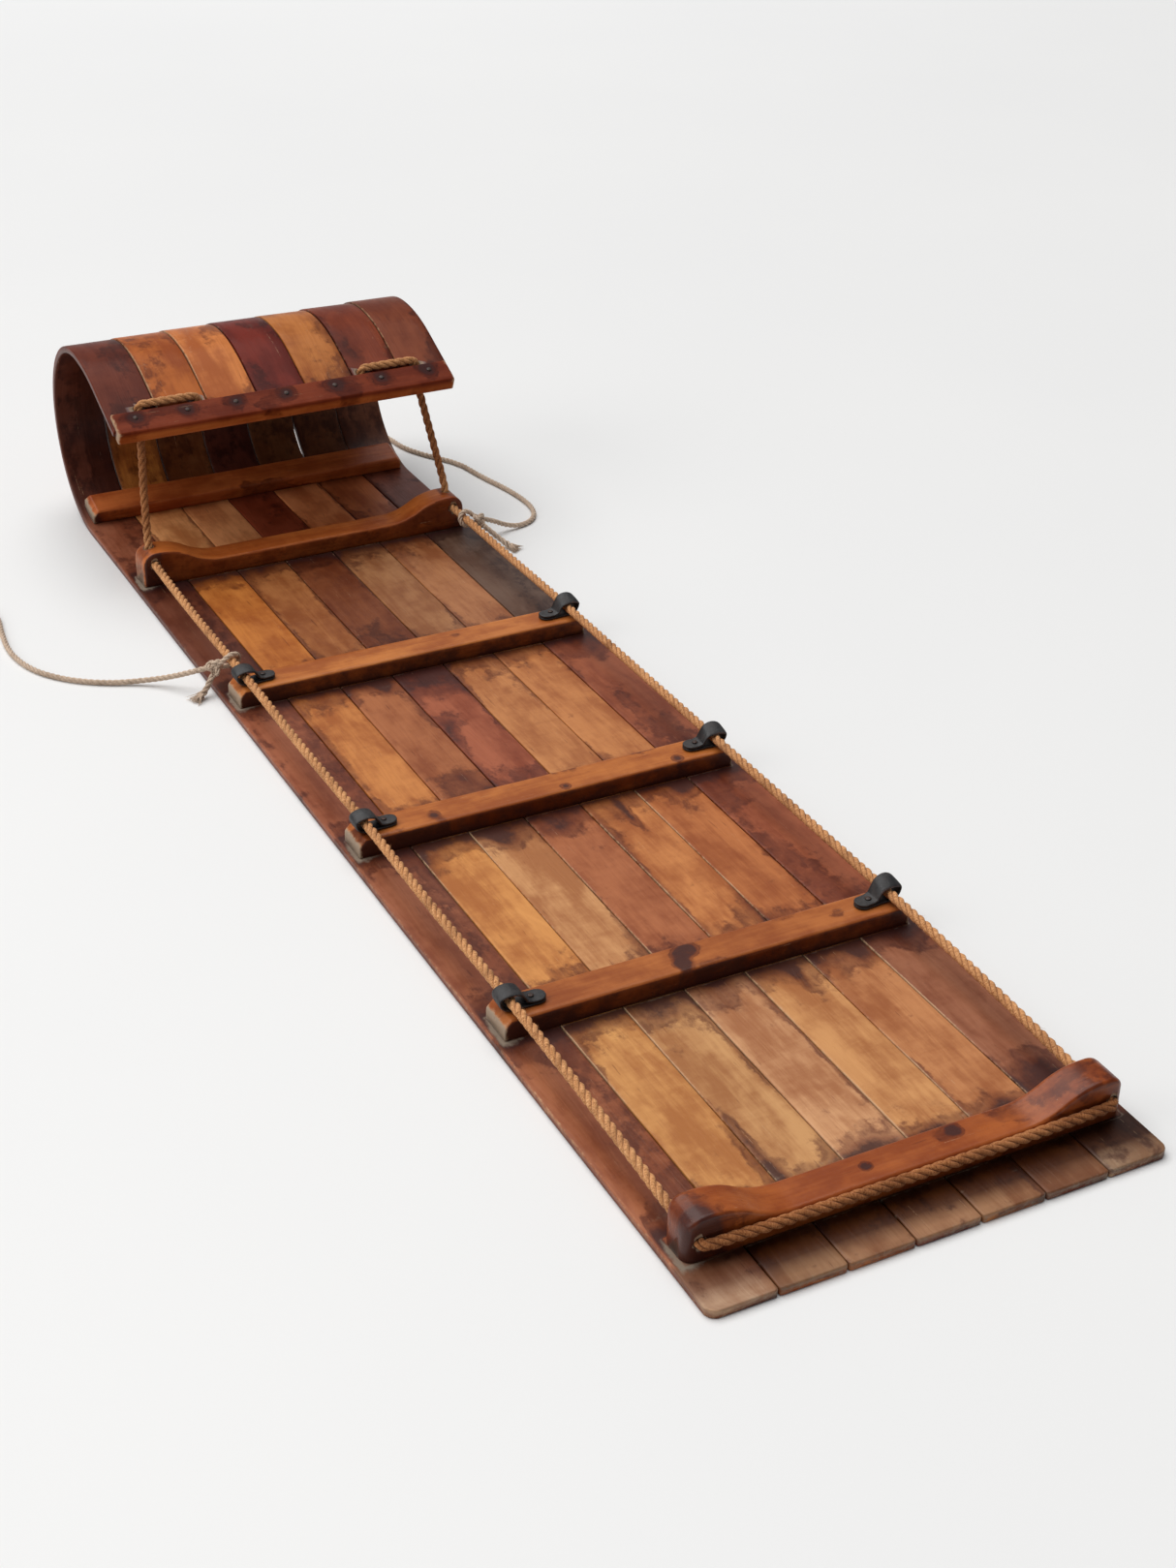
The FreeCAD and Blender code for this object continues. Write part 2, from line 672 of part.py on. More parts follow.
def leather_loop(label, side, place):
    """A strap folded round the side rope; it turns on the nail through its two ends."""
    body = new_body(label)
    section = new_sketch(body, label + "_section", "XZ_Plane")
    strap_outline(section)
    strap = pad(body, section, label + "_strap", "Dims.strap_width")
    inner_end = dim("strap_inner_end")
    corners = edges_where(strap.Shape, lambda e, m: abs(m.x - inner_end) < NEAR
                          and abs(m.z - dim("strap_thickness")) < NEAR)
    rounded = dress(body, "Fillet", label + "_end", strap, corners, "Radius", "Dims.strap_end_radius")
    body.Tip = rounded
    half_turn = 0 if side > 0 else 180
    body.Placement = FreeCAD.Placement(V(0, place, STRAP_BOTTOM), FreeCAD.Rotation(Z_AXIS, half_turn))
    ply = dim("strap_thickness")
    foot = V(side * dim("strap_nail_line"), place, STRAP_BOTTOM - ply)
    bore_radius = (dim("nail_diameter") + dim("nail_clearance")) / 2
    bore = Part.makeCylinder(bore_radius, 4 * ply, foot, Z_AXIS)
    return cut(label, body, feature(label + "_bore", bore))


loop_nails = []
for side_name, side in SIDES:
    for number, place in LOOP_PLACES:
        label = "loop_%s_%d" % (side_name, number)
        keep(leather_loop(label, side, place), label)
        height = STRAP_BOTTOM + 2 * dim("strap_thickness") + dim("running_gap")
        loop_nails.append(nail(V(side * dim("strap_nail_line"), place, height), Z_AXIS * -1))
keep(feature("loop_nails", Part.makeCompound(loop_nails)), "loop_nails")


# ---------------------------------------------------------------- side rope

ROPE = dim("rope_diameter")
TIGHT = ROPE
EASY = 3 * ROPE
GENTLE = 20 * ROPE
STOPPER = dim("stopper_diameter") / 2
STOPPER_CUT = math.radians(dim("stopper_cut_angle"))
SLAT_BELOW = THICK / math.cos(DESCENT)
STOPPER_HEIGHT = ROPE_HOLE.z - SLAT_BELOW - (STOPPER + dim("running_gap")) / math.cos(DESCENT)
OVER_CURL = ROPE_HOLE.z + (ROPE / 2 + dim("running_gap")) / math.cos(DESCENT)
BEHIND_YOKE = dim("rear_yoke_place") - dim("yoke_depth") / 2 - ROPE / 2 - dim("running_gap")


def half_rope(side):
    """The side rope's corners on one side, from its stopper knot to the rear yoke."""
    inner = side * dim("rope_inner_hole")
    outer = side * dim("rope_outer_hole")
    at_yoke = side * dim("yoke_bore_line")
    at_side = side * dim("rope_line")
    yoke_top = THICK + dim("yoke_end_height")
    yoke_back = dim("front_yoke_place") - dim("yoke_depth") / 2
    last_loop = dim("crossbar_three_place") - dim("bar_depth")
    yoke_face = dim("rear_yoke_place") + dim("yoke_depth") / 2
    return [
        (V(inner, ROPE_HOLE.y, STOPPER_HEIGHT + STOPPER * math.sin(STOPPER_CUT)), None),
        (V(inner, ROPE_HOLE.y, OVER_CURL), TIGHT),
        (V(outer, ROPE_HOLE.y, OVER_CURL), TIGHT),
        (V(outer, ROPE_HOLE.y, ROPE_HOLE.z - 2 * SLAT_BELOW), EASY),
        (V(at_yoke, FRONT_BORE_Y, yoke_top + dim("rope_entry_lift")), EASY),
        (V(at_yoke, FRONT_BORE_Y, dim("yoke_bore_height")), TIGHT),
        (V(at_yoke, yoke_back - dim("rope_exit_run"), dim("yoke_bore_height")), GENTLE),
        (V(at_side, yoke_back - dim("rope_climb_run"), dim("rope_height")), GENTLE),
        (V(at_side, last_loop, dim("rope_height")), GENTLE),
        (V(at_side, yoke_face + dim("rope_entry_run"), dim("rear_bore_height")), GENTLE),
        (V(at_side, BEHIND_YOKE, dim("rear_bore_height")), TIGHT),
    ]


left_half = half_rope(-1)
right_half = half_rope(1)
rope_route = left_half + right_half[::-1]
rope_points = [point for point, radius in rope_route]
rope_radii = [radius for point, radius in rope_route[1:-1]]
keep(tube("side_rope", rope_points, rope_radii, ROPE), "side_rope")

for side_name, side in SIDES:
    label = "rope_knot_" + side_name
    knot = doc.addObject("Part::Sphere", label)
    knot.setExpression("Radius", "Dims.stopper_diameter / 2")
    knot.Angle2 = math.degrees(STOPPER_CUT)
    knot.Placement = FreeCAD.Placement(
        V(side * dim("rope_inner_hole"), ROPE_HOLE.y, STOPPER_HEIGHT), FreeCAD.Rotation())
    keep(knot, label)


# ---------------------------------------------------------------- pull cords

CORD = dim("cord_diameter")
REST = CORD / 2 + dim("cord_rest_gap")
COIL_LAYERS = 2

LEFT_ROUTE = [
    V(-233, 277, 32), V(-252, 291, 23), V(-274, 312, 11.5), V(-302, 330, 5), V(-336, 344, REST),
    V(-374, 371, REST), V(-404, 411, REST), V(-417, 465, REST), V(-412, 522, REST),
    V(-402, 577, REST), V(-418, 630, REST), V(-450, 676, REST),
]
RIGHT_ROUTE = [
    V(230, 522, 31.5), V(249, 530, 22), V(270, 536, 9), V(292, 537, REST), V(314, 546, REST),
    V(329, 568, REST), V(335, 600, REST), V(330, 652, REST), V(315, 712, REST),
    V(307, 768, REST), V(280, 808, REST), V(258, 852, REST), V(254, 900, REST),
    V(236, 945, REST), V(200, 975, REST),
]
LEFT_TAIL = [V(-230, 269, 26), V(-239, 267, 15), V(-246, 264, 7), V(-255, 259, REST)]
RIGHT_TAIL = [V(227, 512, 26.5), V(238, 503, 16), V(246, 493, 8), V(253, 480, REST)]
LEFT_RING = V(-206, 270, dim("rope_height"))
RIGHT_RING = V(205.2, 519, 39)
LEFT_KNOT = V(-226, 273, 33)
RIGHT_KNOT = V(223, 518, 33)


def coil_centre(route):
    """The middle of a coil whose turns carry on from the end of a route, anticlockwise."""
    heading = (route[-1] - route[-2]).normalize()
    return route[-1] + V(-heading.y, heading.x, 0) * dim("coil_radius")


def coil(label, centre):
    """The outer shape of a coil of cord that lies on the ground."""
    foot = V(centre.x, centre.y, dim("coil_rest_gap"))
    disc = Part.makeCylinder(dim("coil_radius") + CORD, COIL_LAYERS * CORD, foot, Z_AXIS)
    hole = Part.makeCylinder(dim("coil_radius") - CORD, COIL_LAYERS * CORD, foot, Z_AXIS)
    ring = disc.cut(hole)
    return feature(label, ring.makeFillet(CORD / 2, ring.Edges[0:1]))


def pull_knot(label, ring_centre, knot_centre):
    """A turn of cord round the side rope and the knot that closes it."""
    turn_radius = ROPE / 2 + CORD / 2 + dim("running_gap")
    turn = Part.makeTorus(turn_radius, CORD / 2, ring_centre, Y_AXIS)
    ball = Part.makeSphere(dim("pull_knot_diameter") / 2, knot_centre)
    return feature(label, turn.fuse(ball).removeSplitter())


for side_name, route, tail, ring_centre, knot_centre in (
    ("left", LEFT_ROUTE, LEFT_TAIL, LEFT_RING, LEFT_KNOT),
    ("right", RIGHT_ROUTE, RIGHT_TAIL, RIGHT_RING, RIGHT_KNOT),
):
    cord_label = "pull_cord_" + side_name
    keep(tube(cord_label, route, free_radii(route), CORD), cord_label)
    tail_label = "pull_tail_" + side_name
    keep(tube(tail_label, tail, free_radii(tail), CORD), tail_label)
    centre = coil_centre(route)
    keep(coil("pull_coil_" + side_name, centre), "pull_coil_" + side_name)
    keep(pull_knot("pull_knot_" + side_name, ring_centre, knot_centre), "pull_knot_" + side_name)
    end_knot = doc.addObject("Part::Sphere", "pull_end_" + side_name)
    end_knot.setExpression("Radius", "Dims.cord_diameter")
    on_coil = V(centre.x, centre.y + dim("coil_radius") - dim("end_knot_inset"), COIL_LAYERS * CORD + CORD)
    end_knot.Placement = FreeCAD.Placement(on_coil, FreeCAD.Rotation())
    keep(end_knot, "pull_end_" + side_name)

# ---------------------------------------------------------------- check and write

doc.recompute()
for thing in doc.Objects:
    if "Invalid" in thing.State or "Error" in thing.State:
        raise RuntimeError("%s did not build: %s" % (thing.Name, thing.State))
for label, thing in nodes.items():
    if thing.Shape.isNull() or not thing.Shape.isValid():
        raise RuntimeError(label + " has no valid shape")

os.makedirs("parts", exist_ok=True)
for label, thing in nodes.items():
    thing.Shape.exportStep("parts/%s.step" % label)
    print(label, "solids", len(thing.Shape.Solids), "volume", round(thing.Shape.Volume))
print("nodes", len(nodes))
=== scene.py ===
import math
import random

import bpy
from mathutils import Matrix, Vector
from mathutils import noise as turbulence


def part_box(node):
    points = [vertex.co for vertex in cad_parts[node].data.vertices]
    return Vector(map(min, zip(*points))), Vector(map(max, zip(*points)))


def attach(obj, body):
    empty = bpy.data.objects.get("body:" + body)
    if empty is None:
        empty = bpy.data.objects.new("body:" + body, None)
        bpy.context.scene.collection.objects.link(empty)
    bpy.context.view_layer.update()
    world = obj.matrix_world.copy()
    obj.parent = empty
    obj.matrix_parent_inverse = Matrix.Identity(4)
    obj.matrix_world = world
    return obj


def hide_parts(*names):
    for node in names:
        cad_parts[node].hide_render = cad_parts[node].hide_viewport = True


# A wooden toboggan on a pale floor. Metres; +Y towards the curled nose, +Z up, +X to the rider's right.

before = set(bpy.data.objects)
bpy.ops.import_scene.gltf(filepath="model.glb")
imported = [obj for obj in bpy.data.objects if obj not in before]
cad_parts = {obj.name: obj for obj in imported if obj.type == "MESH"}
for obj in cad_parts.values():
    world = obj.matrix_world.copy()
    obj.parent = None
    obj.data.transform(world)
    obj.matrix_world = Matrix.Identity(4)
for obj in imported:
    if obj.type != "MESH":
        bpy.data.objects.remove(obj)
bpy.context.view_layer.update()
ROOT = "toboggan"
SIDES = (("left", -1), ("right", 1))
X_AXIS, Y_AXIS, Z_AXIS = Vector((1, 0, 0)), Vector((0, 1, 0)), Vector((0, 0, 1))

# ---------------------------------------------------------------- sizes, as in the CAD

PITCH = 0.0654
SLAT_WIDTH = 0.0646
THICK = 0.009
HALF_LENGTH = 0.8885
CURL = 0.127
CROWN = 0.200
DESCENT = math.radians(24)
TIP_RUN = 0.084
CURL_Y = HALF_LENGTH - CURL
BAR_PLACES = (("crossbar_1", 0.2275), ("crossbar_2", -0.1295), ("crossbar_3", -0.4765))
FRONT_YOKE = 0.5765
REAR_YOKE = -0.8135
BAR_LENGTH = 0.440
BAR_DEPTH = 0.042
BAR_HEIGHT = 0.021
YOKE_LENGTH = 0.438
YOKE_DEPTH = 0.038
ROPE = 0.010
CORD = 0.0065
REST = 0.0034
FLOOR_GAP = 0.0001
NAIL_LINE = 0.184
FOOT_TURN = math.radians(15.5)
SLAT_MIDDLES = [(k - 3) * PITCH for k in range(7)]


# ---------------------------------------------------------------- camera

CAMERA_PLACE = (-0.9539, -2.0673, 1.3015)
CAMERA_TURNS = (27.457, 30.46, 0.756)
LENS = 54.06
SENSOR = 36


def make_camera():
    """The photograph's camera; its turns are yaw to the right, pitch down and roll."""
    yaw, pitch, roll = (math.radians(turn) for turn in CAMERA_TURNS)
    ahead = Vector((math.sin(yaw), math.cos(yaw), 0))
    forward = ahead * math.cos(pitch) - Z_AXIS * math.sin(pitch)
    level = Vector((math.cos(yaw), -math.sin(yaw), 0))
    upright = level.cross(forward)
    across = level * math.cos(roll) + upright * math.sin(roll)
    up = upright * math.cos(roll) - level * math.sin(roll)
    data = bpy.data.cameras.new("camera")
    data.lens = LENS
    data.sensor_width = SENSOR
    camera = bpy.data.objects.new("camera", data)
    bpy.context.collection.objects.link(camera)
    pose = Matrix((across, up, -forward)).transposed().to_4x4()
    pose.translation = CAMERA_PLACE
    camera.matrix_world = pose
    bpy.context.scene.camera = camera


make_camera()


# ---------------------------------------------------------------- mesh helpers

def make_object(name, vertices, faces, layers=None, smooth=True):
    """A mesh object; layers maps an attribute's name to one value a vertex."""
    mesh = bpy.data.meshes.new(name)
    mesh.from_pydata([tuple(v) for v in vertices], [], faces)
    for layer, values in (layers or {}).items():
        vector = len(values[0]) == 3
        kind = "FLOAT_VECTOR" if vector else "FLOAT_COLOR"
        attribute = mesh.attributes.new(layer, kind, "POINT")
        flat = [component for value in values for component in value]
        attribute.data.foreach_set("vector" if vector else "color", flat)
    mesh.polygons.foreach_set("use_smooth", [smooth] * len(mesh.polygons))
    mesh.update()
    obj = bpy.data.objects.new(name, mesh)
    bpy.context.collection.objects.link(obj)
    return obj


def finish_piece(obj, material, slot, body, *nodes):
    """Gives a piece its material, its place in the frame and the CAD nodes it stands for."""
    obj.data.materials.clear()
    obj.data.materials.append(material)
    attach(obj, body)
    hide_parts(*nodes)


class Mesh:
    """Gathers the parts of one mesh with its attributes."""

    def __init__(self, *layers):
        self.vertices = []
        self.faces = []
        self.layers = {layer: [] for layer in layers}

    def add(self, vertices, faces, **layers):
        first = len(self.vertices)
        self.vertices.extend(vertices)
        self.faces.extend([tuple(first + i for i in face) for face in faces])
        for layer, values in layers.items():
            self.layers[layer].extend(values)

    def build(self, name, smooth=True):
        return make_object(name, self.vertices, self.faces, self.layers, smooth)


def ring_faces(rings, around):
    """Faces of a skin over rings of points, closed at both ends; around is the points in a ring."""
    faces = []
    for a in range(0, (rings - 1) * around, around):
        b = a + around
        for j in range(around):
            k = (j + 1) % around
            faces.append((a + j, a + k, b + k, b + j))
    faces.append(tuple(range(around))[::-1])
    faces.append(tuple((rings - 1) * around + j for j in range(around)))
    return faces


def steps(low, high, size):
    """Evenly spaced numbers from low to high, about size apart."""
    count = max(1, round((high - low) / size))
    return [low + (high - low) * i / count for i in range(count + 1)]


def smoothstep(low, high, x):
    """0 at low and 1 at high, which may be the lower number."""
    t = min(1, max(0, (x - low) / (high - low)))
    return t * t * (3 - 2 * t)


def rough(*place):
    """Smooth noise from 0 to 1."""
    return 0.5 + 0.5 * turbulence.noise(Vector(place))


def eased(radius, distance):
    """How far an edge rounded to a radius has fallen away, at a distance from the end."""
    return radius - math.sqrt(max(0, radius ** 2 - max(0, radius - distance) ** 2))


def marked(stain, grime, bare):
    """The marks attribute: how much stain, grime and bare wood there is, each up to 1; in places the
    stain also holds painted shade, the grime a painted sheen and the bare wood painted highlights.
    """
    return (min(1, stain), min(1, grime), min(1, bare), 1)


def wooden(name, rings):
    """A wooden piece skinned over rings of points; each point is (place, grain, marks) and may
    have a tint."""
    places, *values = zip(*(point for ring in rings for point in ring))
    faces = ring_faces(len(rings), len(rings[0]))
    return make_object(name, places, faces, dict(zip(("grain", "marks", "tint"), values)))


def rounded_section(half, low, high, top_round, bottom_round, cuts):
    """A bar's section as (across, up) points: its corners are rounded, and cuts says how many
    pieces its top, right side, bottom and left side are cut into."""
    points = []
    corners = ((-half, high, top_round, math.pi, math.pi / 2),
               (half, high, top_round, math.pi / 2, 0),
               (half, low, bottom_round, 0, -math.pi / 2),
               (-half, low, bottom_round, -math.pi / 2, -math.pi))
    arcs = []
    for across, up, radius, start, end in corners:
        centre_x = across - math.copysign(radius, across)
        centre_z = up - radius if up == high else up + radius
        angles = [start + (end - start) * i / 4 for i in range(5)]
        arcs.append([(centre_x + radius * math.cos(angle), centre_z + radius * math.sin(angle))
                     for angle in angles])
    for index, arc in enumerate(arcs):
        points += arc
        (x, z), (next_x, next_z) = arc[-1], arcs[(index + 1) % 4][0]
        shares = [i / cuts[index] for i in range(1, cuts[index])]
        points += [(x + (next_x - x) * t, z + (next_z - z) * t) for t in shares]
    return points


def bore(obj, cutters):
    """Drills round holes; each cutter is (start, end, radius)."""
    for start, end, radius in cutters:
        along = end - start
        bpy.ops.mesh.primitive_cylinder_add(vertices=32, radius=radius, depth=along.length)
        drill = bpy.context.object
        turned = along.to_track_quat("Z", "Y").to_matrix().to_4x4()
        drill.matrix_world = Matrix.Translation((start + end) / 2) @ turned
        bpy.context.view_layer.update()
        cut = obj.modifiers.new("bore", "BOOLEAN")
        cut.object = drill
        cut.operation = "DIFFERENCE"
        cut.solver = "EXACT"
        bpy.context.view_layer.objects.active = obj
        bpy.ops.object.modifier_apply(modifier=cut.name)
        bpy.data.objects.remove(drill)


# ---------------------------------------------------------------- routes, cords and ropes

def centreline(points, closed=False):
    """The points of a smooth NURBS line through a route's control points."""
    curve = bpy.data.curves.new("route", "CURVE")
    curve.dimensions = "3D"
    curve.resolution_u = 14
    spline = curve.splines.new("NURBS")
    spline.points.add(len(points) - 1)
    for place, point in zip(points, spline.points):
        point.co = (*place, 1)
    spline.order_u = 3
    spline.use_endpoint_u = not closed
    spline.use_cyclic_u = closed
    carrier = bpy.data.objects.new("route", curve)
    bpy.context.collection.objects.link(carrier)
    bpy.context.view_layer.update()
    mesh = bpy.data.meshes.new_from_object(carrier)
    line = [v.co.copy() for v in mesh.vertices]
    bpy.data.objects.remove(carrier)
    bpy.data.meshes.remove(mesh)
    if closed:
        line.append(line[0].copy())
    return line


def evenly(line, size):
    """A polyline walked in equal steps."""
    lengths = [0]
    for a, b in zip(line, line[1:]):
        lengths.append(lengths[-1] + (b - a).length)
    count = max(2, round(lengths[-1] / size))
    walked = []
    k = 0
    for i in range(count + 1):
        at = lengths[-1] * i / count
        while k < len(line) - 2 and lengths[k + 1] < at:
            k += 1
        span = lengths[k + 1] - lengths[k] or 1
        walked.append(line[k].lerp(line[k + 1], min(1, max(0, (at - lengths[k]) / span))))
    return walked


def length_of(line):
    return sum((b - a).length for a, b in zip(line, line[1:]))


def tangent_at(line, i):
    return (line[min(len(line) - 1, i + 1)] - line[max(0, i - 1)]).normalized()


def carried_frames(line):
    """For each point, two directions across the line that turn as little as possible along it."""
    tangents = [tangent_at(line, i) for i in range(len(line))]
    side = tangents[0].orthogonal().normalized()
    frames = []
    for tangent in tangents:
        side = (side - tangent * side.dot(tangent)).normalized()
        frames.append((side, tangent.cross(side)))
    return frames


def tube_into(mesh, line, radius, around=8, seed=0.0, outward=None):
    """Adds a round tube; radius is a number or a function of the share of the way along. outward
    is the direction away from the rope's axis at each point, for the strand attribute."""
    frames = carried_frames(line)
    vertices = []
    strand = []
    travelled = 0
    for i, (point, (u, v)) in enumerate(zip(line, frames)):
        share = i / (len(line) - 1)
        r = radius(share) if callable(radius) else radius
        if i:
            travelled += (point - line[i - 1]).length
        for j in range(around):
            angle = 2 * math.pi * j / around
            spoke = u * math.cos(angle) + v * math.sin(angle)
            spot = point + spoke * r
            spot.z = max(spot.z, FLOOR_GAP)
            vertices.append(spot)
            strand.append((0.5 + 0.5 * spoke.dot(outward[i]) if outward else 0.8, travelled, seed))
    mesh.add(vertices, ring_faces(len(line), around), strand=strand)


def laid_rope(mesh, line, diameter, lay=3.3, step=0.28, open_by=None):
    """Adds three twisted strands that follow a line. lay is the length of one twist in diameters,
    and open_by spreads the strands, as a function of the share of the way along."""
    walked = evenly(line, diameter * step)
    frames = carried_frames(walked)
    strand_radius = diameter * 0.268
    offset = diameter * 0.262
    for k in range(3):
        path = []
        outward = []
        travelled = 0
        for i, (point, (u, v)) in enumerate(zip(walked, frames)):
            share = i / (len(walked) - 1)
            if i:
                travelled += (point - walked[i - 1]).length
            angle = 2 * math.pi * (travelled / (lay * diameter) + k / 3)
            spread = offset * (open_by(share) if open_by else 1)
            outward.append(u * math.cos(angle) + v * math.sin(angle))
            path.append(point + outward[-1] * spread)
        tube_into(mesh, path, strand_radius, 8, k * 0.37, outward)
    return walked


def fuzz(mesh, line, diameter, count, rng, reach):
    """Adds short stray fibres that stand out from a rope, by up to reach diameters or so."""
    frames = carried_frames(line)
    for _ in range(count):
        i = rng.randrange(2, len(line) - 2)
        u, v = frames[i]
        angle = rng.uniform(0, 2 * math.pi)
        out = u * math.cos(angle) + v * math.sin(angle)
        along = (line[i + 1] - line[i - 1]).normalized() * rng.choice((-1, 1))
        start = line[i] + out * diameter * 0.46
        if line[i].z < 0.012:
            out.z = abs(out.z)
        long = diameter * reach * rng.uniform(0.4, 1.0)
        middle = start + along * long * 0.6 + out * long * rng.uniform(0.15, 0.35)
        end = middle + along * long * rng.uniform(0.2, 0.7) + out * long * rng.uniform(0.1, 0.6)
        tube_into(mesh, [start, middle, end], lambda share: diameter * 0.011 * (1.2 - share), 3,
                  rng.random())


# ---------------------------------------------------------------- material helpers

class Nodes:
    """Short ways to build one material's nodes. A value may be a number, a tuple or a socket."""

    def __init__(self, name):
        self.material = bpy.data.materials.new(name)
        self.material.use_nodes = True
        self.tree = self.material.node_tree
        self.tree.nodes.clear()
        output = self.tree.nodes.new("ShaderNodeOutputMaterial")
        self.shader = self.tree.nodes.new("ShaderNodeBsdfPrincipled")
        self.tree.links.new(self.shader.outputs["BSDF"], output.inputs["Surface"])

    def put(self, socket, value):
        if isinstance(value, bpy.types.NodeSocket):
            self.tree.links.new(value, socket)
        else:
            socket.default_value = value

    def set(self, **values):
        for key, value in values.items():
            self.put(self.shader.inputs[key.replace("_", " ")], value)

    def node(self, kind, inputs, **settings):
        """Adds a node with its settings and inputs, and gives its outputs."""
        node = self.tree.nodes.new("ShaderNode" + kind)
        for key, value in settings.items():
            setattr(node, key, value)
        for key, value in inputs.items():
            self.put(node.inputs[key], value)
        return node.outputs

    def attribute(self, name, output="Vector"):
        return self.node("Attribute", {}, attribute_name=name)[output]

    def position(self):
        return self.node("TexCoord", {})["Object"]

    def math(self, operation, a, b=0.0, c=0.0, clamp=False):
        return self.node("Math", {0: a, 1: b, 2: c}, operation=operation, use_clamp=clamp)[0]

    def add(self, a, b):
        return self.math("ADD", a, b)

    def times(self, a, b):
        return self.math("MULTIPLY", a, b)

    def scaled(self, value, by, plus):
        return self.math("MULTIPLY_ADD", value, by, plus)

    def stretch(self, vector, scale, shift=(0, 0, 0)):
        return self.node("Mapping", {"Vector": vector, "Location": shift, "Scale": scale})[0]

    def noise(self, vector, scale=1.0, detail=3.0, roughness=0.5, distortion=0.0):
        return self.node("TexNoise", {"Vector": vector, "Scale": scale, "Detail": detail,
                                      "Roughness": roughness, "Distortion": distortion})[0]

    def cells(self, vector, scale):
        return self.node("TexVoronoi", {"Vector": vector, "Scale": scale},
                         feature="DISTANCE_TO_EDGE")["Distance"]

    def remap(self, value, low, high, new_low=0.0, new_high=1.0):
        """Eases a value over from one range to another, and no further."""
        inputs = {"From Min": low, "From Max": high, "To Min": new_low, "To Max": new_high}
        inputs["Value"] = value
        return self.node("MapRange", inputs, interpolation_type="SMOOTHSTEP")[0]

    def ramp(self, value, stops):
        node = self.tree.nodes.new("ShaderNodeValToRGB")
        elements = node.color_ramp.elements
        while len(elements) < len(stops):
            elements.new(0.5)
        for element, (place, colour) in zip(elements, stops):
            element.position = place
            element.color = (*colour, 1)
        self.put(node.inputs["Fac"], value)
        return node.outputs["Color"]

    def mix(self, factor, a, b, blend="MIX"):
        a, b = ((*c, 1) if isinstance(c, tuple) and len(c) == 3 else c for c in (a, b))
        return self.node("Mix", {0: factor, 6: a, 7: b}, data_type="RGBA", blend_type=blend)[2]

    def steeped(self, base, colour):
        return self.mix(1.0, base, colour, "MULTIPLY")

    def parts(self, colour):
        return self.node("SeparateColor", {0: colour})

    def axis(self, vector, name):
        return self.node("SeparateXYZ", {0: vector})[name]

    def bump(self, height, distance, strength=1.0, normal=None):
        inputs = {"Distance": distance, "Strength": strength, "Height": height}
        if normal is not None:
            inputs["Normal"] = normal
        return self.node("Bump", inputs)[0]


# What marks do to a wood's colour: STAIN, DEEP and PALE multiply it, and the others cover it.
STAIN = (0.33, 0.21, 0.22)
TIDE = (0.038, 0.012, 0.011)
GRIME_AND_SHEEN = (0.30, 0.24, 0.18)
BARE_AND_HIGHLIGHT = (0.60, 0.38, 0.22)
DEEP = (0.70, 0.54, 0.44)
PALE = (1.17, 1.20, 1.19)


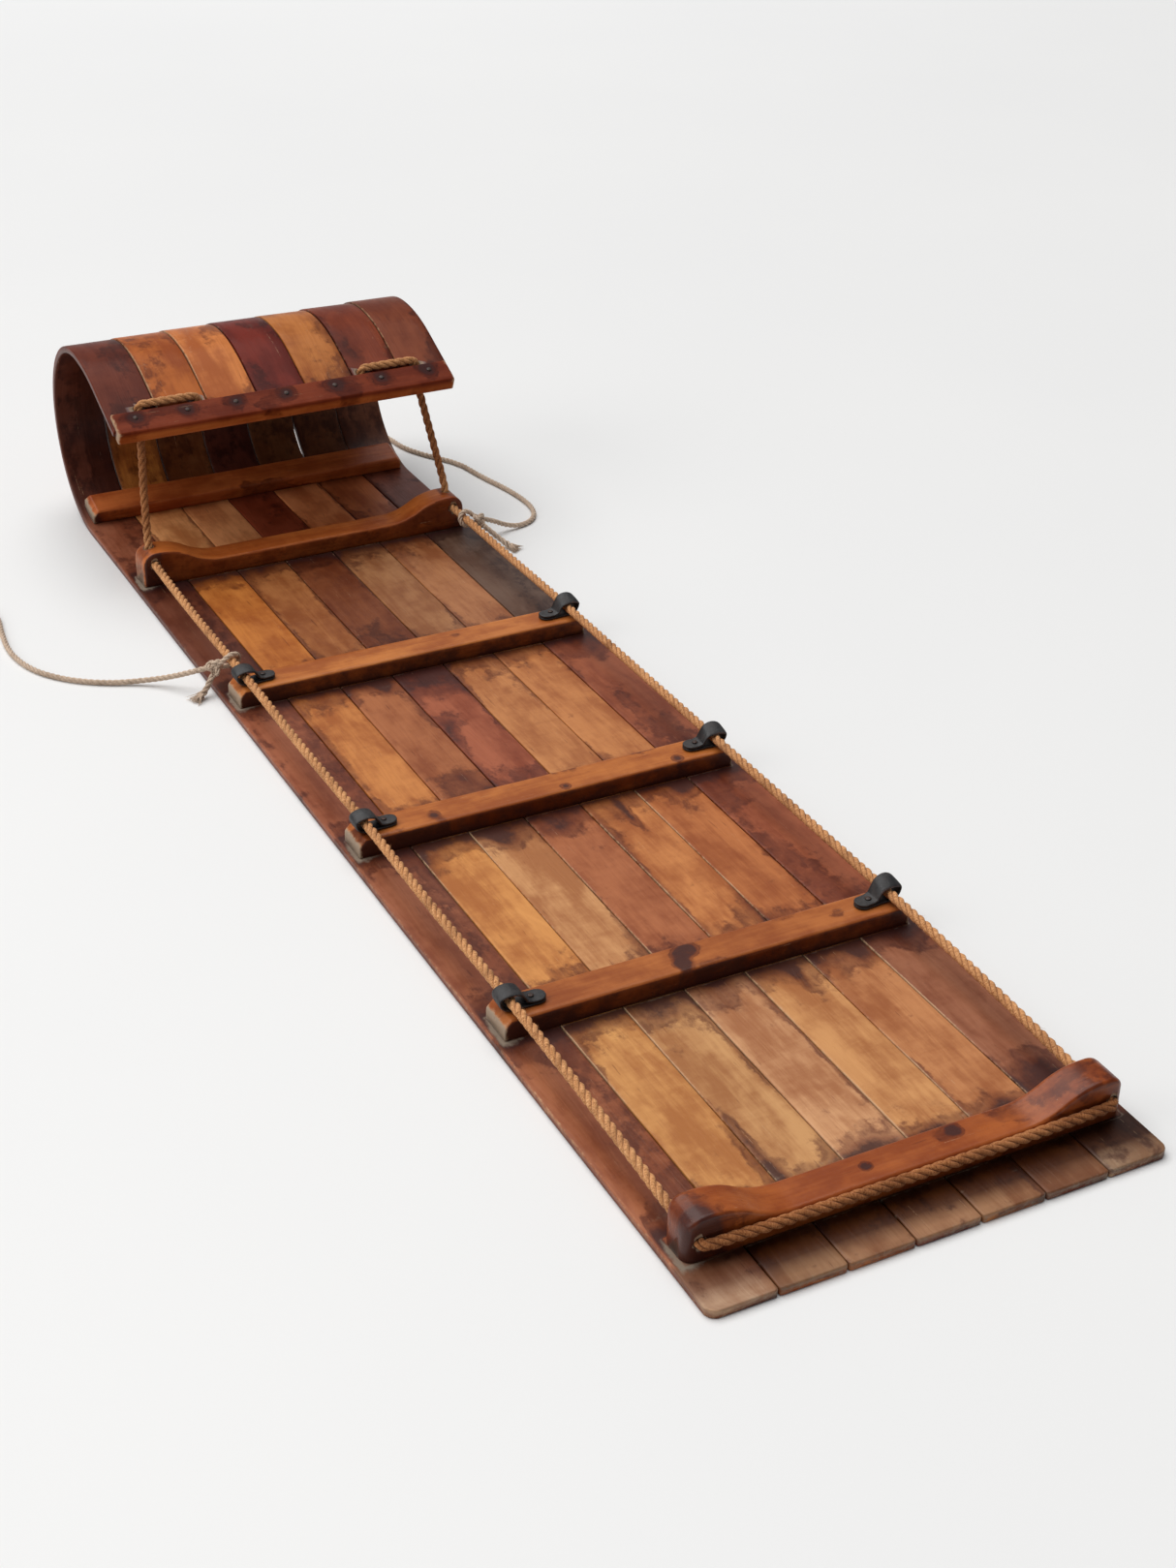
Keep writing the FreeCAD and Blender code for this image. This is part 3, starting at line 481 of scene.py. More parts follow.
def wood(name, colour, seed, figure=1.0, shine=0.34, gloss=0.06, gleam=1.0):
    """Old varnished wood. colour is None where the mesh's own tint attribute gives it. The grain
    attribute gives (across, along, through) in metres, and the marks attribute how much stain,
    grime and bare wood there is; in places the stain also holds painted shade, the grime a painted
    sheen and the bare wood painted highlights. gleam scales the shine, which is duller on a slat's
    outside."""
    n = Nodes(name)
    grain = n.attribute("grain")
    stain, grime, bare = n.parts(n.attribute("marks", "Color"))[:3]
    colour = (*colour, 1) if colour else n.attribute("tint", "Color")

    def pattern(across, along, detail, roughness, distortion=0.0,
                shift=(seed * 3.7, seed * 5.3, seed * 1.9)):
        stretched = n.stretch(grain, (across, along, across), shift)
        return n.noise(stretched, 1, detail, roughness, distortion)

    slow = pattern(22, 1.8, 3, 0.5, 0.7)
    rings = n.remap(n.math("PINGPONG", n.times(slow, 13), 0.5), 0.0, 0.45)
    streak = pattern(230, 6, 4, 0.6)
    fibre = pattern(1500, 60, 3, 0.6)
    cloud = pattern(22, 8, 3, 0.55, 0.3)
    blot = pattern(62, 28, 4, 0.6, 0.4)
    flame = pattern(30, 120, 3, 0.55, 0.6)
    wide = pattern(46, 40, 5, 0.62)
    fine = pattern(190, 150, 4, 0.65)

    blend = n.scaled(cloud, 0.56, n.times(blot, 0.22))
    blend = n.add(blend, n.times(flame, 0.08))
    blend = n.add(blend, n.times(streak, 0.14))
    deep = n.steeped(colour, DEEP)
    base = n.mix(n.remap(blend, 0.39, 0.60), deep, n.steeped(colour, PALE))
    late = n.times(n.math("SUBTRACT", 1.0, rings), 0.16 * figure)
    base = n.mix(late, base, deep)
    base = n.mix(n.remap(fibre, 0.55, 0.72, 0, 0.30 * figure), base, n.steeped(base, DEEP))

    reach = n.scaled(wide, 1.3, -0.65)
    reach = n.add(reach, n.scaled(fine, 0.30, -0.15))
    wet = n.add(n.times(stain, 1.25), reach)
    base = n.mix(n.remap(wet, 0.22, 0.90, 0, 0.80), base, n.steeped(base, STAIN))
    base = n.mix(n.remap(wet, 0.80, 1.25, 0, 0.80), base, TIDE)
    edge = n.remap(n.math("ABSOLUTE", n.math("SUBTRACT", wet, 0.50)), 0.0, 0.24, 1.0, 0.0)
    rim = n.times(edge, n.remap(blot, 0.40, 0.58, 0.05, 0.75))
    base = n.mix(rim, base, n.steeped(base, STAIN))
    fleck = pattern(330, 26, 2, 0.5, shift=(seed * 2, seed, 0))
    base = n.mix(n.remap(fleck, 0.68, 0.76, 0, 0.55), base, n.steeped(base, STAIN))
    # Bare wood; on the slats' raised edges it is also a painted highlight.
    scuffed_and_highlit = n.remap(n.add(bare, n.scaled(fine, 0.9, -0.40)), 0.42, 0.85)
    base = n.mix(n.times(scuffed_and_highlit, 0.75), base, BARE_AND_HIGHLIGHT)
    scratch = pattern(560, 9, 2, 0.5, shift=(seed, seed * 2, 0))
    scratch = n.times(n.remap(scratch, 0.70, 0.76), n.remap(fine, 0.45, 0.6, 0, 0.40))
    base = n.mix(scratch, base, BARE_AND_HIGHLIGHT)
    # Pale dust; on the slats' crest it is also a painted sheen.
    dust_and_sheen = n.remap(n.add(grime, n.scaled(fine, 0.8, -0.36)), 0.36, 0.95)
    base = n.mix(n.times(dust_and_sheen, 0.80), base, GRIME_AND_SHEEN)

    rough_base = n.scaled(wide, 0.26, shine - 0.06)
    dulled = n.times(n.math("MAXIMUM", dust_and_sheen, scuffed_and_highlit), 0.32)
    roughness = n.math("ADD", rough_base, dulled, clamp=True)
    relief = n.bump(rings, 0.0003, 0.25)
    relief = n.bump(fibre, 0.0002, 0.45, relief)
    relief = n.bump(fine, 0.0004, 0.20, relief)
    n.set(Base_Color=base, Roughness=roughness, Normal=relief)
    n.set(Specular_IOR_Level=n.remap(n.axis(grain, "Z"), 0.002, 0.006, 0.06 * gleam, 0.20 * gleam))
    n.set(Sheen_Weight=n.remap(n.axis(grain, "Z"), 0.002, 0.004, 0.10, 0.0), Sheen_Roughness=0.30)
    n.set(Coat_Weight=gloss, Coat_Roughness=0.20)
    return n.material


def rope_fibre(name, light, mid, dark, seed, twist, shade_and_weather=None):
    """Laid natural fibre. The strand attribute gives (how far out of the groove, metres along,
    which strand). weathered dulls a rope where it stands up at the curl and behind the rear
    yoke, as weathering with painted shade."""
    n = Nodes(name)
    strand = n.attribute("strand")
    yarns = n.noise(n.stretch(strand, (5, 700 * twist, 7), (0, seed, 0)), 1, 2, 0.5)
    hair = n.noise(n.stretch(strand, (22, 1500 * twist, 9), (seed, 0, 0)), 1, 3, 0.6)
    place = n.position()
    worn = n.noise(place, 34, 4, 0.6)
    slow = n.noise(place, 9, 3, 0.5)
    base = n.ramp(n.scaled(hair, 0.6, n.scaled(yarns, 0.5, -0.05)),
                  ((0.33, dark), (0.47, mid), (0.62, light)))
    base = n.mix(n.remap(n.axis(strand, "X"), 0.62, 0.30, 0, 0.80), base, dark)
    base = n.mix(n.remap(worn, 0.45, 0.75, 0, 0.5), base, dark)
    base = n.mix(n.remap(slow, 0.50, 0.75, 0, 0.25), base, light)
    if shade_and_weather:
        # Painted shade with weathering: darker where the rope stands up in the curl and where it runs
        # behind the rear yoke.
        standing = n.math("MINIMUM", n.remap(n.axis(place, "Z"), 0.050, 0.085, 0, 0.80),
                          n.remap(n.axis(place, "Z"), 0.205, 0.214, 0.80, 0.15))
        shaded_and_aged = n.math("MAXIMUM", standing,
                     n.remap(n.axis(place, "Y"), REAR_YOKE, REAR_YOKE - 0.02, 0, 0.80))
        base = n.mix(shaded_and_aged, base, n.steeped(base, shade_and_weather))
    relief = n.bump(yarns, 0.0007, 0.7)
    relief = n.bump(hair, 0.0003, 0.6, relief)
    n.set(Base_Color=base, Roughness=0.82, Normal=relief)
    n.set(Specular_IOR_Level=0.15, Sheen_Weight=0.06, Sheen_Roughness=0.5)
    return n.material


def black_leather():
    """Old black leather, brown where the marks attribute says that it is worn, and dusty."""
    n = Nodes("black_leather")
    place = n.position()
    grain = n.cells(place, 900)
    creases = n.noise(place, 260, 5, 0.6, 0.6)
    patches = n.noise(place, 90, 4, 0.6)
    worn = n.parts(n.attribute("marks", "Color"))[2]
    base = n.mix(n.remap(patches, 0.40, 0.70), (0.010, 0.009, 0.010), (0.034, 0.028, 0.027))
    rubbed = n.remap(n.add(worn, n.scaled(creases, 1.1, -0.55)), 0.55, 1.0)
    base = n.mix(n.times(rubbed, 0.75), base, (0.085, 0.038, 0.028))
    dusty = n.noise(place, 420, 4, 0.7)
    base = n.mix(n.remap(dusty, 0.58, 0.78, 0, 0.40), base, (0.085, 0.085, 0.095))
    relief = n.bump(creases, 0.0007, 0.8)
    relief = n.bump(grain, 0.0003, 0.4, relief)
    roughness = n.remap(patches, 0.3, 0.7, 0.42, 0.62)
    n.set(Base_Color=base, Roughness=roughness, Normal=relief)
    return n.material


def dark_steel():
    n = Nodes("dark_steel")
    place = n.position()
    rust = n.noise(place, 700, 5, 0.65)
    base = n.mix(n.remap(rust, 0.40, 0.65), (0.055, 0.050, 0.050), (0.085, 0.035, 0.018))
    n.set(Base_Color=base, Metallic=0.7, Normal=n.bump(rust, 0.0002, 0.6))
    n.set(Roughness=n.remap(rust, 0.3, 0.7, 0.38, 0.75))
    return n.material


def pale_floor():
    n = Nodes("pale_floor")
    place = n.position()
    cloud = n.noise(place, 1.1, 3, 0.5)
    speck = n.noise(place, 260, 3, 0.6)
    base = n.mix(cloud, (0.80, 0.80, 0.80), (0.84, 0.838, 0.83))
    n.set(Base_Color=base, Roughness=0.72, Normal=n.bump(speck, 0.0004, 0.12))
    return n.material


# The colours of slats 1 to 7: in the four bays from the tail, ahead of the front yoke, inside the
# curl, and on the underside, which the curl turns up to the light. Slat 1 is on the left.
# The colours ahead of the front yoke are lighter than the wood's own, as painted light that makes up for
# the curl's shadow on that bay.
SLAT_TINTS = (
    ((0.32, 0.105, 0.045), (0.29, 0.094, 0.043), (0.30, 0.092, 0.042), (0.145, 0.042, 0.022),
     (0.285, 0.092, 0.047), (0.095, 0.026, 0.015), (0.135, 0.025, 0.010)),
    ((0.57, 0.265, 0.086), (0.58, 0.245, 0.070), (0.51, 0.188, 0.050), (0.465, 0.157, 0.033),
     (0.80, 0.365, 0.145), (0.42, 0.145, 0.030), (0.400, 0.105, 0.018)),
    ((0.50, 0.250, 0.100), (0.53, 0.255, 0.105), (0.34, 0.112, 0.041), (0.320, 0.116, 0.037),
     (0.79, 0.325, 0.132), (0.20, 0.070, 0.024), (0.550, 0.178, 0.046)),
    ((0.53, 0.265, 0.128), (0.36, 0.116, 0.045), (0.32, 0.087, 0.039), (0.170, 0.048, 0.017),
     (0.270, 0.051, 0.021), (0.085, 0.020, 0.012), (0.150, 0.014, 0.006)),
    ((0.53, 0.245, 0.092), (0.49, 0.180, 0.055), (0.46, 0.182, 0.062), (0.325, 0.144, 0.059),
     (0.75, 0.260, 0.100), (0.14, 0.050, 0.018), (0.420, 0.140, 0.032)),
    ((0.46, 0.187, 0.072), (0.42, 0.138, 0.042), (0.46, 0.175, 0.057), (0.340, 0.136, 0.054),
     (0.50, 0.150, 0.054), (0.13, 0.042, 0.015), (0.190, 0.034, 0.011)),
    ((0.28, 0.103, 0.052), (0.30, 0.082, 0.034), (0.27, 0.074, 0.031), (0.110, 0.060, 0.040),
     (0.210, 0.064, 0.040), (0.17, 0.060, 0.030), (0.185, 0.042, 0.015)),
)
SLAT_SLOTS = ("wood_dark", "wood_gold", "wood_brown", "wood_red",
              "wood_gold", "wood_brown", "wood_dark")
SLAT_WOODS = [wood("slat_wood_%d" % k, None, 1.3 + k * 2.1) for k in range(1, 8)]
LEATHER = black_leather()
STEEL = dark_steel()
MANILA = rope_fibre("manila", (0.80, 0.43, 0.20), (0.55, 0.245, 0.092), (0.16, 0.054, 0.020), 3.1, 1.0,
                    (0.50, 0.34, 0.24))
GREY_CORD = rope_fibre("grey_cord", (0.76, 0.60, 0.46), (0.58, 0.43, 0.32), (0.25, 0.165, 0.110),
                       7.7, 1.4)


# ---------------------------------------------------------------- slats

ARC_START = HALF_LENGTH + CURL_Y
CROWN_START = ARC_START + math.pi * CURL
TIP_START = CROWN_START + CROWN * DESCENT
SLAT_END = TIP_START + TIP_RUN
CROWN_CENTRE_Z = 2 * CURL - CROWN
TIP = Vector((0,
              CURL_Y - CROWN * math.sin(DESCENT) - TIP_RUN * math.cos(DESCENT),
              CROWN_CENTRE_Z + CROWN * math.cos(DESCENT) - TIP_RUN * math.sin(DESCENT)))


def bent(s, inward):
    """(y, z) of a point s along a slat's underside and that far into the wood."""
    if s <= ARC_START:
        return s - HALF_LENGTH, inward
    if s <= CROWN_START:
        turn = (s - ARC_START) / CURL
        r = CURL - inward
        return CURL_Y + r * math.sin(turn), CURL - r * math.cos(turn)
    turn = min(DESCENT, (s - CROWN_START) / CROWN)
    r = CROWN - inward
    over = max(0.0, s - TIP_START)
    y = CURL_Y - r * math.sin(turn) - over * math.cos(DESCENT)
    z = CROWN_CENTRE_Z + r * math.cos(turn) - over * math.sin(DESCENT)
    return y, z


def along_slat(y):
    return y + HALF_LENGTH


# The middle and depth of each bar on the deck, the rear yoke first.
BAR_BANDS = ((REAR_YOKE, YOKE_DEPTH), *((place, BAR_DEPTH) for _, place in BAR_PLACES),
             (FRONT_YOKE, YOKE_DEPTH))
FOOT_DEPTH = 0.040
FOOT_BAND = (ARC_START + CURL * FOOT_TURN, FOOT_DEPTH)
# Where slats 5 and 6 stand apart, so that light shows between them.
SLIVER_START, SLIVER_END = ARC_START + 0.072, ARC_START + 0.130
# How far outside a bar's edge a slat's rings are.
BAND_GAPS = (-0.001, 0.0012, 0.003, 0.0055, 0.008, 0.011, 0.014, 0.018, 0.023)


def slat_stations():
    """Where a slat's rings are: closer together in the curl, by the bars and at its ends."""
    places = set(steps(0, ARC_START, 0.009))
    for start, end in ((ARC_START, CROWN_START), (CROWN_START, SLAT_END)):
        places |= set(steps(start, end, 0.0055))
    for middle, depth in [(along_slat(middle), depth) for middle, depth in BAR_BANDS] + [FOOT_BAND]:
        for side in (-1, 1):
            edge = middle + side * depth / 2
            places |= {edge + side * d for d in BAND_GAPS}
    for d in (0.0003, 0.0008, 0.0016, 0.003, 0.005, 0.008):
        places |= {d, SLAT_END - d}
    kept = []
    for s in sorted(places):
        if not kept or s - kept[-1] > 0.00025:
            kept.append(s)
    return kept


# Dark water stains on the deck: slat, s, u, half length, half width and strength.
CLOUDS = (
    (2, 0.15, 0.029, 0.060, 0.006, 0.7), (2, 0.90, -0.029, 0.180, 0.006, 0.5),
    (3, 0.16, -0.028, 0.060, 0.006, 1.0), (3, 0.365, -0.006, 0.020, 0.020, 0.5),
    (3, 0.715, -0.004, 0.022, 0.012, 1.1), (3, 0.81, 0.024, 0.016, 0.012, 0.9),
    (3, 0.845, 0.006, 0.024, 0.030, 0.8), (3, 1.075, 0.012, 0.018, 0.009, 0.9),
    (4, 0.108, -0.006, 0.012, 0.026, 0.9), (4, 0.71, 0.0, 0.024, 0.032, 0.6),
    (4, 0.83, 0.010, 0.050, 0.040, 0.35), (4, 0.93, -0.026, 0.030, 0.009, 0.7),
    (4, 0.965, -0.016, 0.022, 0.014, 0.9), (4, 1.06, 0.0, 0.040, 0.050, 1.0),
    (4, 1.20, 0.0, 0.060, 0.030, 0.4), (5, 0.110, -0.006, 0.014, 0.024, 0.7),
    (5, 0.365, 0.010, 0.026, 0.006, 0.9), (5, 0.70, 0.004, 0.036, 0.005, 1.0),
    (6, 0.110, 0.010, 0.013, 0.020, 0.7), (6, 0.37, 0.022, 0.020, 0.012, 0.7),
    (6, 0.72, 0.020, 0.020, 0.012, 0.8), (7, 0.135, 0.0, 0.040, 0.026, 1.2),
    (7, 0.52, -0.010, 0.060, 0.030, 0.5), (7, 0.85, 0.0, 0.050, 0.028, 0.5),
    (7, 0.93, -0.010, 0.030, 0.012, 0.7), (7, 1.05, 0.015, 0.030, 0.020, 0.5),
)


# How strong the broad damp patches are on each slat.
DAMP = (0.10, 0.05, 0.22, 0.30, 0.08, 0.10, 0.22)


def marks_by_bars(number, s, u, wander):
    """The stain and the grime round the bars and yokes on the deck."""
    y = s - HALF_LENGTH
    stain = grime = 0.0
    for index, (middle, depth) in enumerate(BAR_BANDS):
        edge = abs(y - middle) - depth / 2
        past_end = abs((number - 4) * PITCH + u) - BAR_LENGTH / 2
        if max(edge, past_end) < 0:
            continue
        edge = math.hypot(max(0, edge), max(0, past_end))
        behind = y < middle
        strength = 0.35 + 0.95 * rough(number * 3.1, index * 5.7, 1.0 if behind else 8.0)
        if index == 0 and not behind:
            strength = 1.15
        reach = (0.010 + 0.024 * wander) * (1.35 if behind else 1.0)
        stain += (0.25 + strength) * math.exp(-edge / reach)
        grime += 0.85 * math.exp(-edge / 0.0022) * (0.4 + wander)
        grime += 0.42 * math.exp(-abs(edge - 0.017 - 0.01 * wander) / 0.0035) * strength
    return stain, grime


def deck_stain(number, s, u, stain):
    """The stain on a slat's upper face, where the bars gave it this much."""
    stain += 0.30 * smoothstep(ARC_START + 0.02, ARC_START + 0.12, s)
    stain *= 0.3 + 0.7 * smoothstep(0.050, 0.075, s)
    for slat_number, at, across, long, wide, strength in CLOUDS:
        if slat_number == number:
            stain += 0.78 * strength * math.exp(-((s - at) / long) ** 2 - ((u - across) / wide) ** 2)
    if number == 1:
        stain += 0.30 * smoothstep(-0.004, 0.008, u) * smoothstep(0.08, 0.12, s)
    return stain


def open_seam(s):
    """How bare the edges of the deck's seams are; they are whole at the tail and in the curl."""
    bare = 0.12 + 0.30 * smoothstep(ARC_START, ARC_START - 0.1, s) + 0.45 * smoothstep(0.80, 0.70, s)
    return bare * (smoothstep(0.04, 0.08, s) * (1 - 0.7 * smoothstep(ARC_START, ARC_START + 0.05, s)))


def slat_marks(number, s, u, inside):
    """The marks at one place of a slat: s along it, u across it, inside on its upper face."""
    wander = rough(u * 30 + number * 7, s * 14, 3.3)
    stain, grime = marks_by_bars(number, s, u, wander)
    bare = 0.0
    grime += 0.45 * math.exp(-s / 0.005)
    edge_across = SLAT_WIDTH / 2 - abs(u)
    seam = math.exp(-(edge_across / 0.0014) ** 4)
    left_edge = u < 0 and number > 1
    if inside:
        stain = deck_stain(number, s, u, stain)
        bare += 0.12 * math.exp(-s / 0.008)
        ragged = 0.15 + 1.15 * rough(s * 9, number * 2.2, 5.1)
        bare += seam * open_seam(s) * (0.95 if left_edge else 0.25) * ragged
    else:
        # Outside, the seams are dark, with painted shade on each slat's right edge beside the step, and
        # the raised left edge is paler, as wear with a painted highlight.
        stain += 0.9 * seam * (0.35 if left_edge else 1.0)
        bare += 0.62 * seam * left_edge * (0.10 + rough(s * 9, number * 2.2, 3.1))
        stain += 0.55 * smoothstep(0.46, 0.74, rough(u * 24 + number * 3.1, s * 13, 9.4))
        # A pale band of dust along the crest, which is also a painted sheen where the crest catches the
        # light.
        crest = math.exp(-((s - CROWN_START + 0.020) / 0.060) ** 2)
        grime += 0.34 * crest * (0.45 + 1.1 * rough(u * 60, s * 24, number * 2.9))
    seep = smoothstep(0.50, 0.72, rough(s * 5.5, number * 3.7 + (2.2 if u > 0 else 0), 2.8))
    stain += 0.75 * seep * math.exp(-edge_across / (0.0025 + 0.004 * wander))
    grime += 0.30 * math.exp(-edge_across / 0.0012) * rough(s * 5 + number, 4.4, u)
    cloud = rough(u * 16 + number * 11.3, s * 5.0, 7.7)
    stain += DAMP[number - 1] * smoothstep(0.52, 0.78, cloud) * 1.3
    if not inside:
        stain *= 0.55
        bare += 0.35 * smoothstep(0.45, 0.8, rough(u * 40, s * 3.5, number * 5.5))
        before_tip = SLAT_END - s
        if before_tip < 0.08:
            stain += 0.32 * math.exp(-max(0, before_tip - 0.025) / 0.012)
    if number in (1, 7):
        bare += 0.22 * math.exp(-s / 0.014)
    if number == 1:
        y = s - HALF_LENGTH
        for middle, depth in BAR_BANDS:
            from_end = math.hypot(max(0, u + 0.020), max(0, middle - depth / 2 - y), max(0, y - middle))
            grime += 0.60 * math.exp(-(from_end / 0.013) ** 2)
        # Slat 1's left side face is cleaner and paler: wear with a painted highlight where the light from
        # the left falls on it.
        if u < 0.003 - SLAT_WIDTH / 2:
            stain *= 0.3
            grime *= 0.3
            bare += 0.30
    return marked(stain, grime, bare)


def blended(a, b, share):
    return tuple(p + (q - p) * share for p, q in zip(a, b))


# Where along a slat one of its tints gives way to the next.
TINT_CHANGES = ((0.36, 0.46), (0.70, 0.82), (1.08, 1.14), (1.45, 1.50),
                (ARC_START - 0.03, ARC_START + 0.06))
# The tail behind the rear yoke: worn at its edge, and darkened next to the yoke by a painted shadow of
# the yoke and its rope.
TAIL_WORN = ((0.42, 0.26, 0.165), (0.25, 0.125, 0.062), (0.28, 0.135, 0.067), (0.29, 0.140, 0.070),
             (0.28, 0.135, 0.066), (0.22, 0.098, 0.048), (0.31, 0.20, 0.125))
TAIL_PAINTED_SHADOW = ((0.165, 0.070, 0.038),) + ((0.056, 0.015, 0.003),) * 5 + ((0.066, 0.023, 0.009),)


def slat_tint(number, s, inside):
    """The wood's colour at s along a slat, with a painted shadow just behind each bar, the rear yoke too.
    """
    colours = SLAT_TINTS[number - 1]
    if not inside:
        return (*colours[6], 1)
    colour = colours[0]
    for following, (start, end) in zip(colours[1:6], TINT_CHANGES):
        colour = blended(colour, following, smoothstep(start, end, s))
    # Painted shadow: the wood is darker just behind each bar.
    for middle, depth in BAR_BANDS:
        gap = along_slat(middle) - depth / 2 - s
        if gap > 0:
            shadowed_colour = tuple(c * 0.5 for c in colour)
            colour = blended(colour, shadowed_colour, 0.85 * math.exp(-(gap / 0.017) ** 2))
    # Painted shadow on the tail next to the rear yoke, with a worn edge further back.
    tail = blended(TAIL_WORN[number - 1], TAIL_PAINTED_SHADOW[number - 1], smoothstep(0.008, 0.030, s))
    return (*blended(colour, tail, smoothstep(0.066, 0.054, s)), 1)


# How far each slat stands out of the curl at its left and its right edge.
CURL_LIFTS = ((0.0008, 0.0002), (0.0014, 0.0004), (0.0018, 0.0006), (0.0022, 0.0010),
              (0.0018, 0.0002), (0.0022, 0.0006), (0.0026, 0.0014))


# How far each slat's upper face lies below the full thickness.
SINKS = (0.0002, 0.0000, 0.0004, 0.0002, 0.0000, 0.0003, 0.0001)
SLAT_CUTS = (20, 1, 5, 1)
SLAT_EASE = 0.0016
OUTER_CORNER = 0.011
CORNER = 0.003


def slat(number):
    """One slat from tail to tip, with the side rope's holes where it has them."""
    middle = SLAT_MIDDLES[number - 1]
    left_corner = OUTER_CORNER if number == 1 else CORNER
    right_corner = OUTER_CORNER if number == 7 else CORNER
    left_lift, right_lift = CURL_LIFTS[number - 1]
    top = THICK - SINKS[number - 1]
    rings = []
    for s in slat_stations():
        near = min(s, SLAT_END - s)
        at_tail = s < 0.5
        left_cut = eased(left_corner, near) if at_tail else 0
        right_cut = eased(right_corner, near) if at_tail else 0
        thinned = eased(SLAT_EASE, near)
        waver = 0.00022 * (rough(s * 3.0, number * 4.1, 0.5) - 0.5) * 2
        half = SLAT_WIDTH / 2 - 0.0001 + waver
        parted = smoothstep(SLIVER_START, SLIVER_START + 0.012, s)
        parted *= smoothstep(SLIVER_END, SLIVER_END - 0.012, s)
        if number == 5:
            right_cut += 0.0011 * parted
        if number == 6:
            left_cut += 0.0011 * parted
        rise = math.sin(math.pi * min(1, max(0, (s - ARC_START) / (SLAT_END - ARC_START)))) ** 2
        section = rounded_section(half, 0.0002, top, 0.0014, 0.0015, SLAT_CUTS)
        ring = []
        for u, inward in section:
            share = (u + half) / (2 * half)
            across = u + left_cut * (1 - share) - right_cut * share
            deep = inward + (thinned if inward < THICK / 2 else -thinned)
            y, z = bent(s, deep - (left_lift * (1 - share) + right_lift * share) * rise)
            ring.append((Vector((middle + across, y, max(z, FLOOR_GAP))), (u, s, inward),
                         slat_marks(number, s, u, inward > THICK * 0.6),
                         slat_tint(number, s, inward > THICK * 0.5)))
        rings.append(ring)
    obj = wooden("slat_%d_bent" % number, rings)
    foot_z = ROPE_HOLE_Z - 0.03
    feet = [Vector((side * x, ROPE_HOLE_Y, foot_z)) for _, side in SIDES for x in ROPE_HOLES]
    own = [foot for foot in feet if abs(foot.x - middle) < PITCH / 2]
    bore(obj, [(foot, foot + Z_AXIS * 0.06, 0.0061) for foot in own])
    finish_piece(obj, SLAT_WOODS[number - 1], SLAT_SLOTS[number - 1], ROOT, "slat_%d" % number)


# The side rope's holes: how far from the middle, and their place on the curl's end.
ROPE_HOLES = (0.110, 0.187)
ROPE_HOLE_Y = TIP.y + 0.0315 * math.cos(DESCENT)
ROPE_HOLE_Z = TIP.z + 0.0315 * math.sin(DESCENT)
for number in range(1, 8):
    slat(number)


# ---------------------------------------------------------------- bars, yokes and batten

BAR_CUTS = (14, 5, 6, 5)
BAR_EASE = 0.0016


def bar_marks(seed, x, y, z, high, half_length, half_depth, spots=(), worn_ends=1.0, dark_rear=0.0,
              dark_ends=0.014):
    """The marks at one place of a bar. spots are knots and stains as (x, y, radius, strength),
    dark_rear darkens the rear face as dirt with painted shade, and ends that aren't worn are
    stained as far as dark_ends."""
    stain = 0.30 * math.exp(-max(0, z) / 0.004)
    # Painted shade on the rear face, with dirt, and a deeper painted shadow there near the left end.
    if y < 0.001 - half_depth:
        stain += dark_rear + math.exp(-max(0, half_length + x - 0.004) / 0.020)
    grime = 0.75 * math.exp(-max(0, z) / 0.0013) * rough(x * 30, seed, 1.1)
    end = half_length - abs(x)
    grime += 0.95 * worn_ends * math.exp(-max(0, end - 0.0004) / 0.0016)
    bare = 0.80 * worn_ends * math.exp(-end / 0.004)
    stain += 0.46 * (1 - worn_ends) * math.exp(-(end / dark_ends) ** 2)
    rim = min(abs(high - z) + abs(half_depth - abs(y)), 0.03)
    bare += 0.55 * math.exp(-rim / 0.0022) * (0.35 + rough(x * 14, seed * 2.2, y * 10))
    for spot_x, spot_y, radius, strength in spots:
        stain += strength * math.exp(-(math.hypot(x - spot_x, y - spot_y) / radius) ** 2)
    stain += 0.45 * smoothstep(0.60, 0.85, rough(x * 13 + seed, y * 24, seed * 3.3))
    return marked(stain, grime, bare)


def bar_stations(half_length):
    places = set(steps(-half_length, half_length, 0.0028))
    for d in (0.0002, 0.0005, 0.0010, 0.0018, 0.0028, 0.0040, 0.0055, 0.0075):
        places |= {half_length - d, d - half_length}
    return sorted(places)


def solid_bar(name, seed, half_length, half_depth, height_at, y, top_round=0.0042, plan_round=0.0016,
              **looks):
    """A bar along X that stands on the deck at y. height_at(x) is its height, plan_round rounds its
    ends seen from above, and looks are for bar_marks."""
    rings = []
    for x in bar_stations(half_length):
        end = half_length - abs(x)
        waver = 0.0003 * (rough(x * 8, seed, 2.0) - 0.5)
        high = height_at(x) - eased(BAR_EASE, end) + waver
        half = half_depth - eased(plan_round, end) + waver
        section = rounded_section(half, 0.0001, high, min(top_round, high / 2), 0.0012, BAR_CUTS)
        rings.append([(Vector((x, y + across, THICK + z)), (across, x, z),
                       bar_marks(seed, x, across, z, high, half_length, half_depth, **looks))
                      for across, z in section])
    return wooden(name, rings)


def crossbar_top(x):
    """A crossbar's height at x: its ends are bevelled."""
    return BAR_HEIGHT - 0.95 * max(0, 0.0075 - (BAR_LENGTH / 2 - abs(x)))


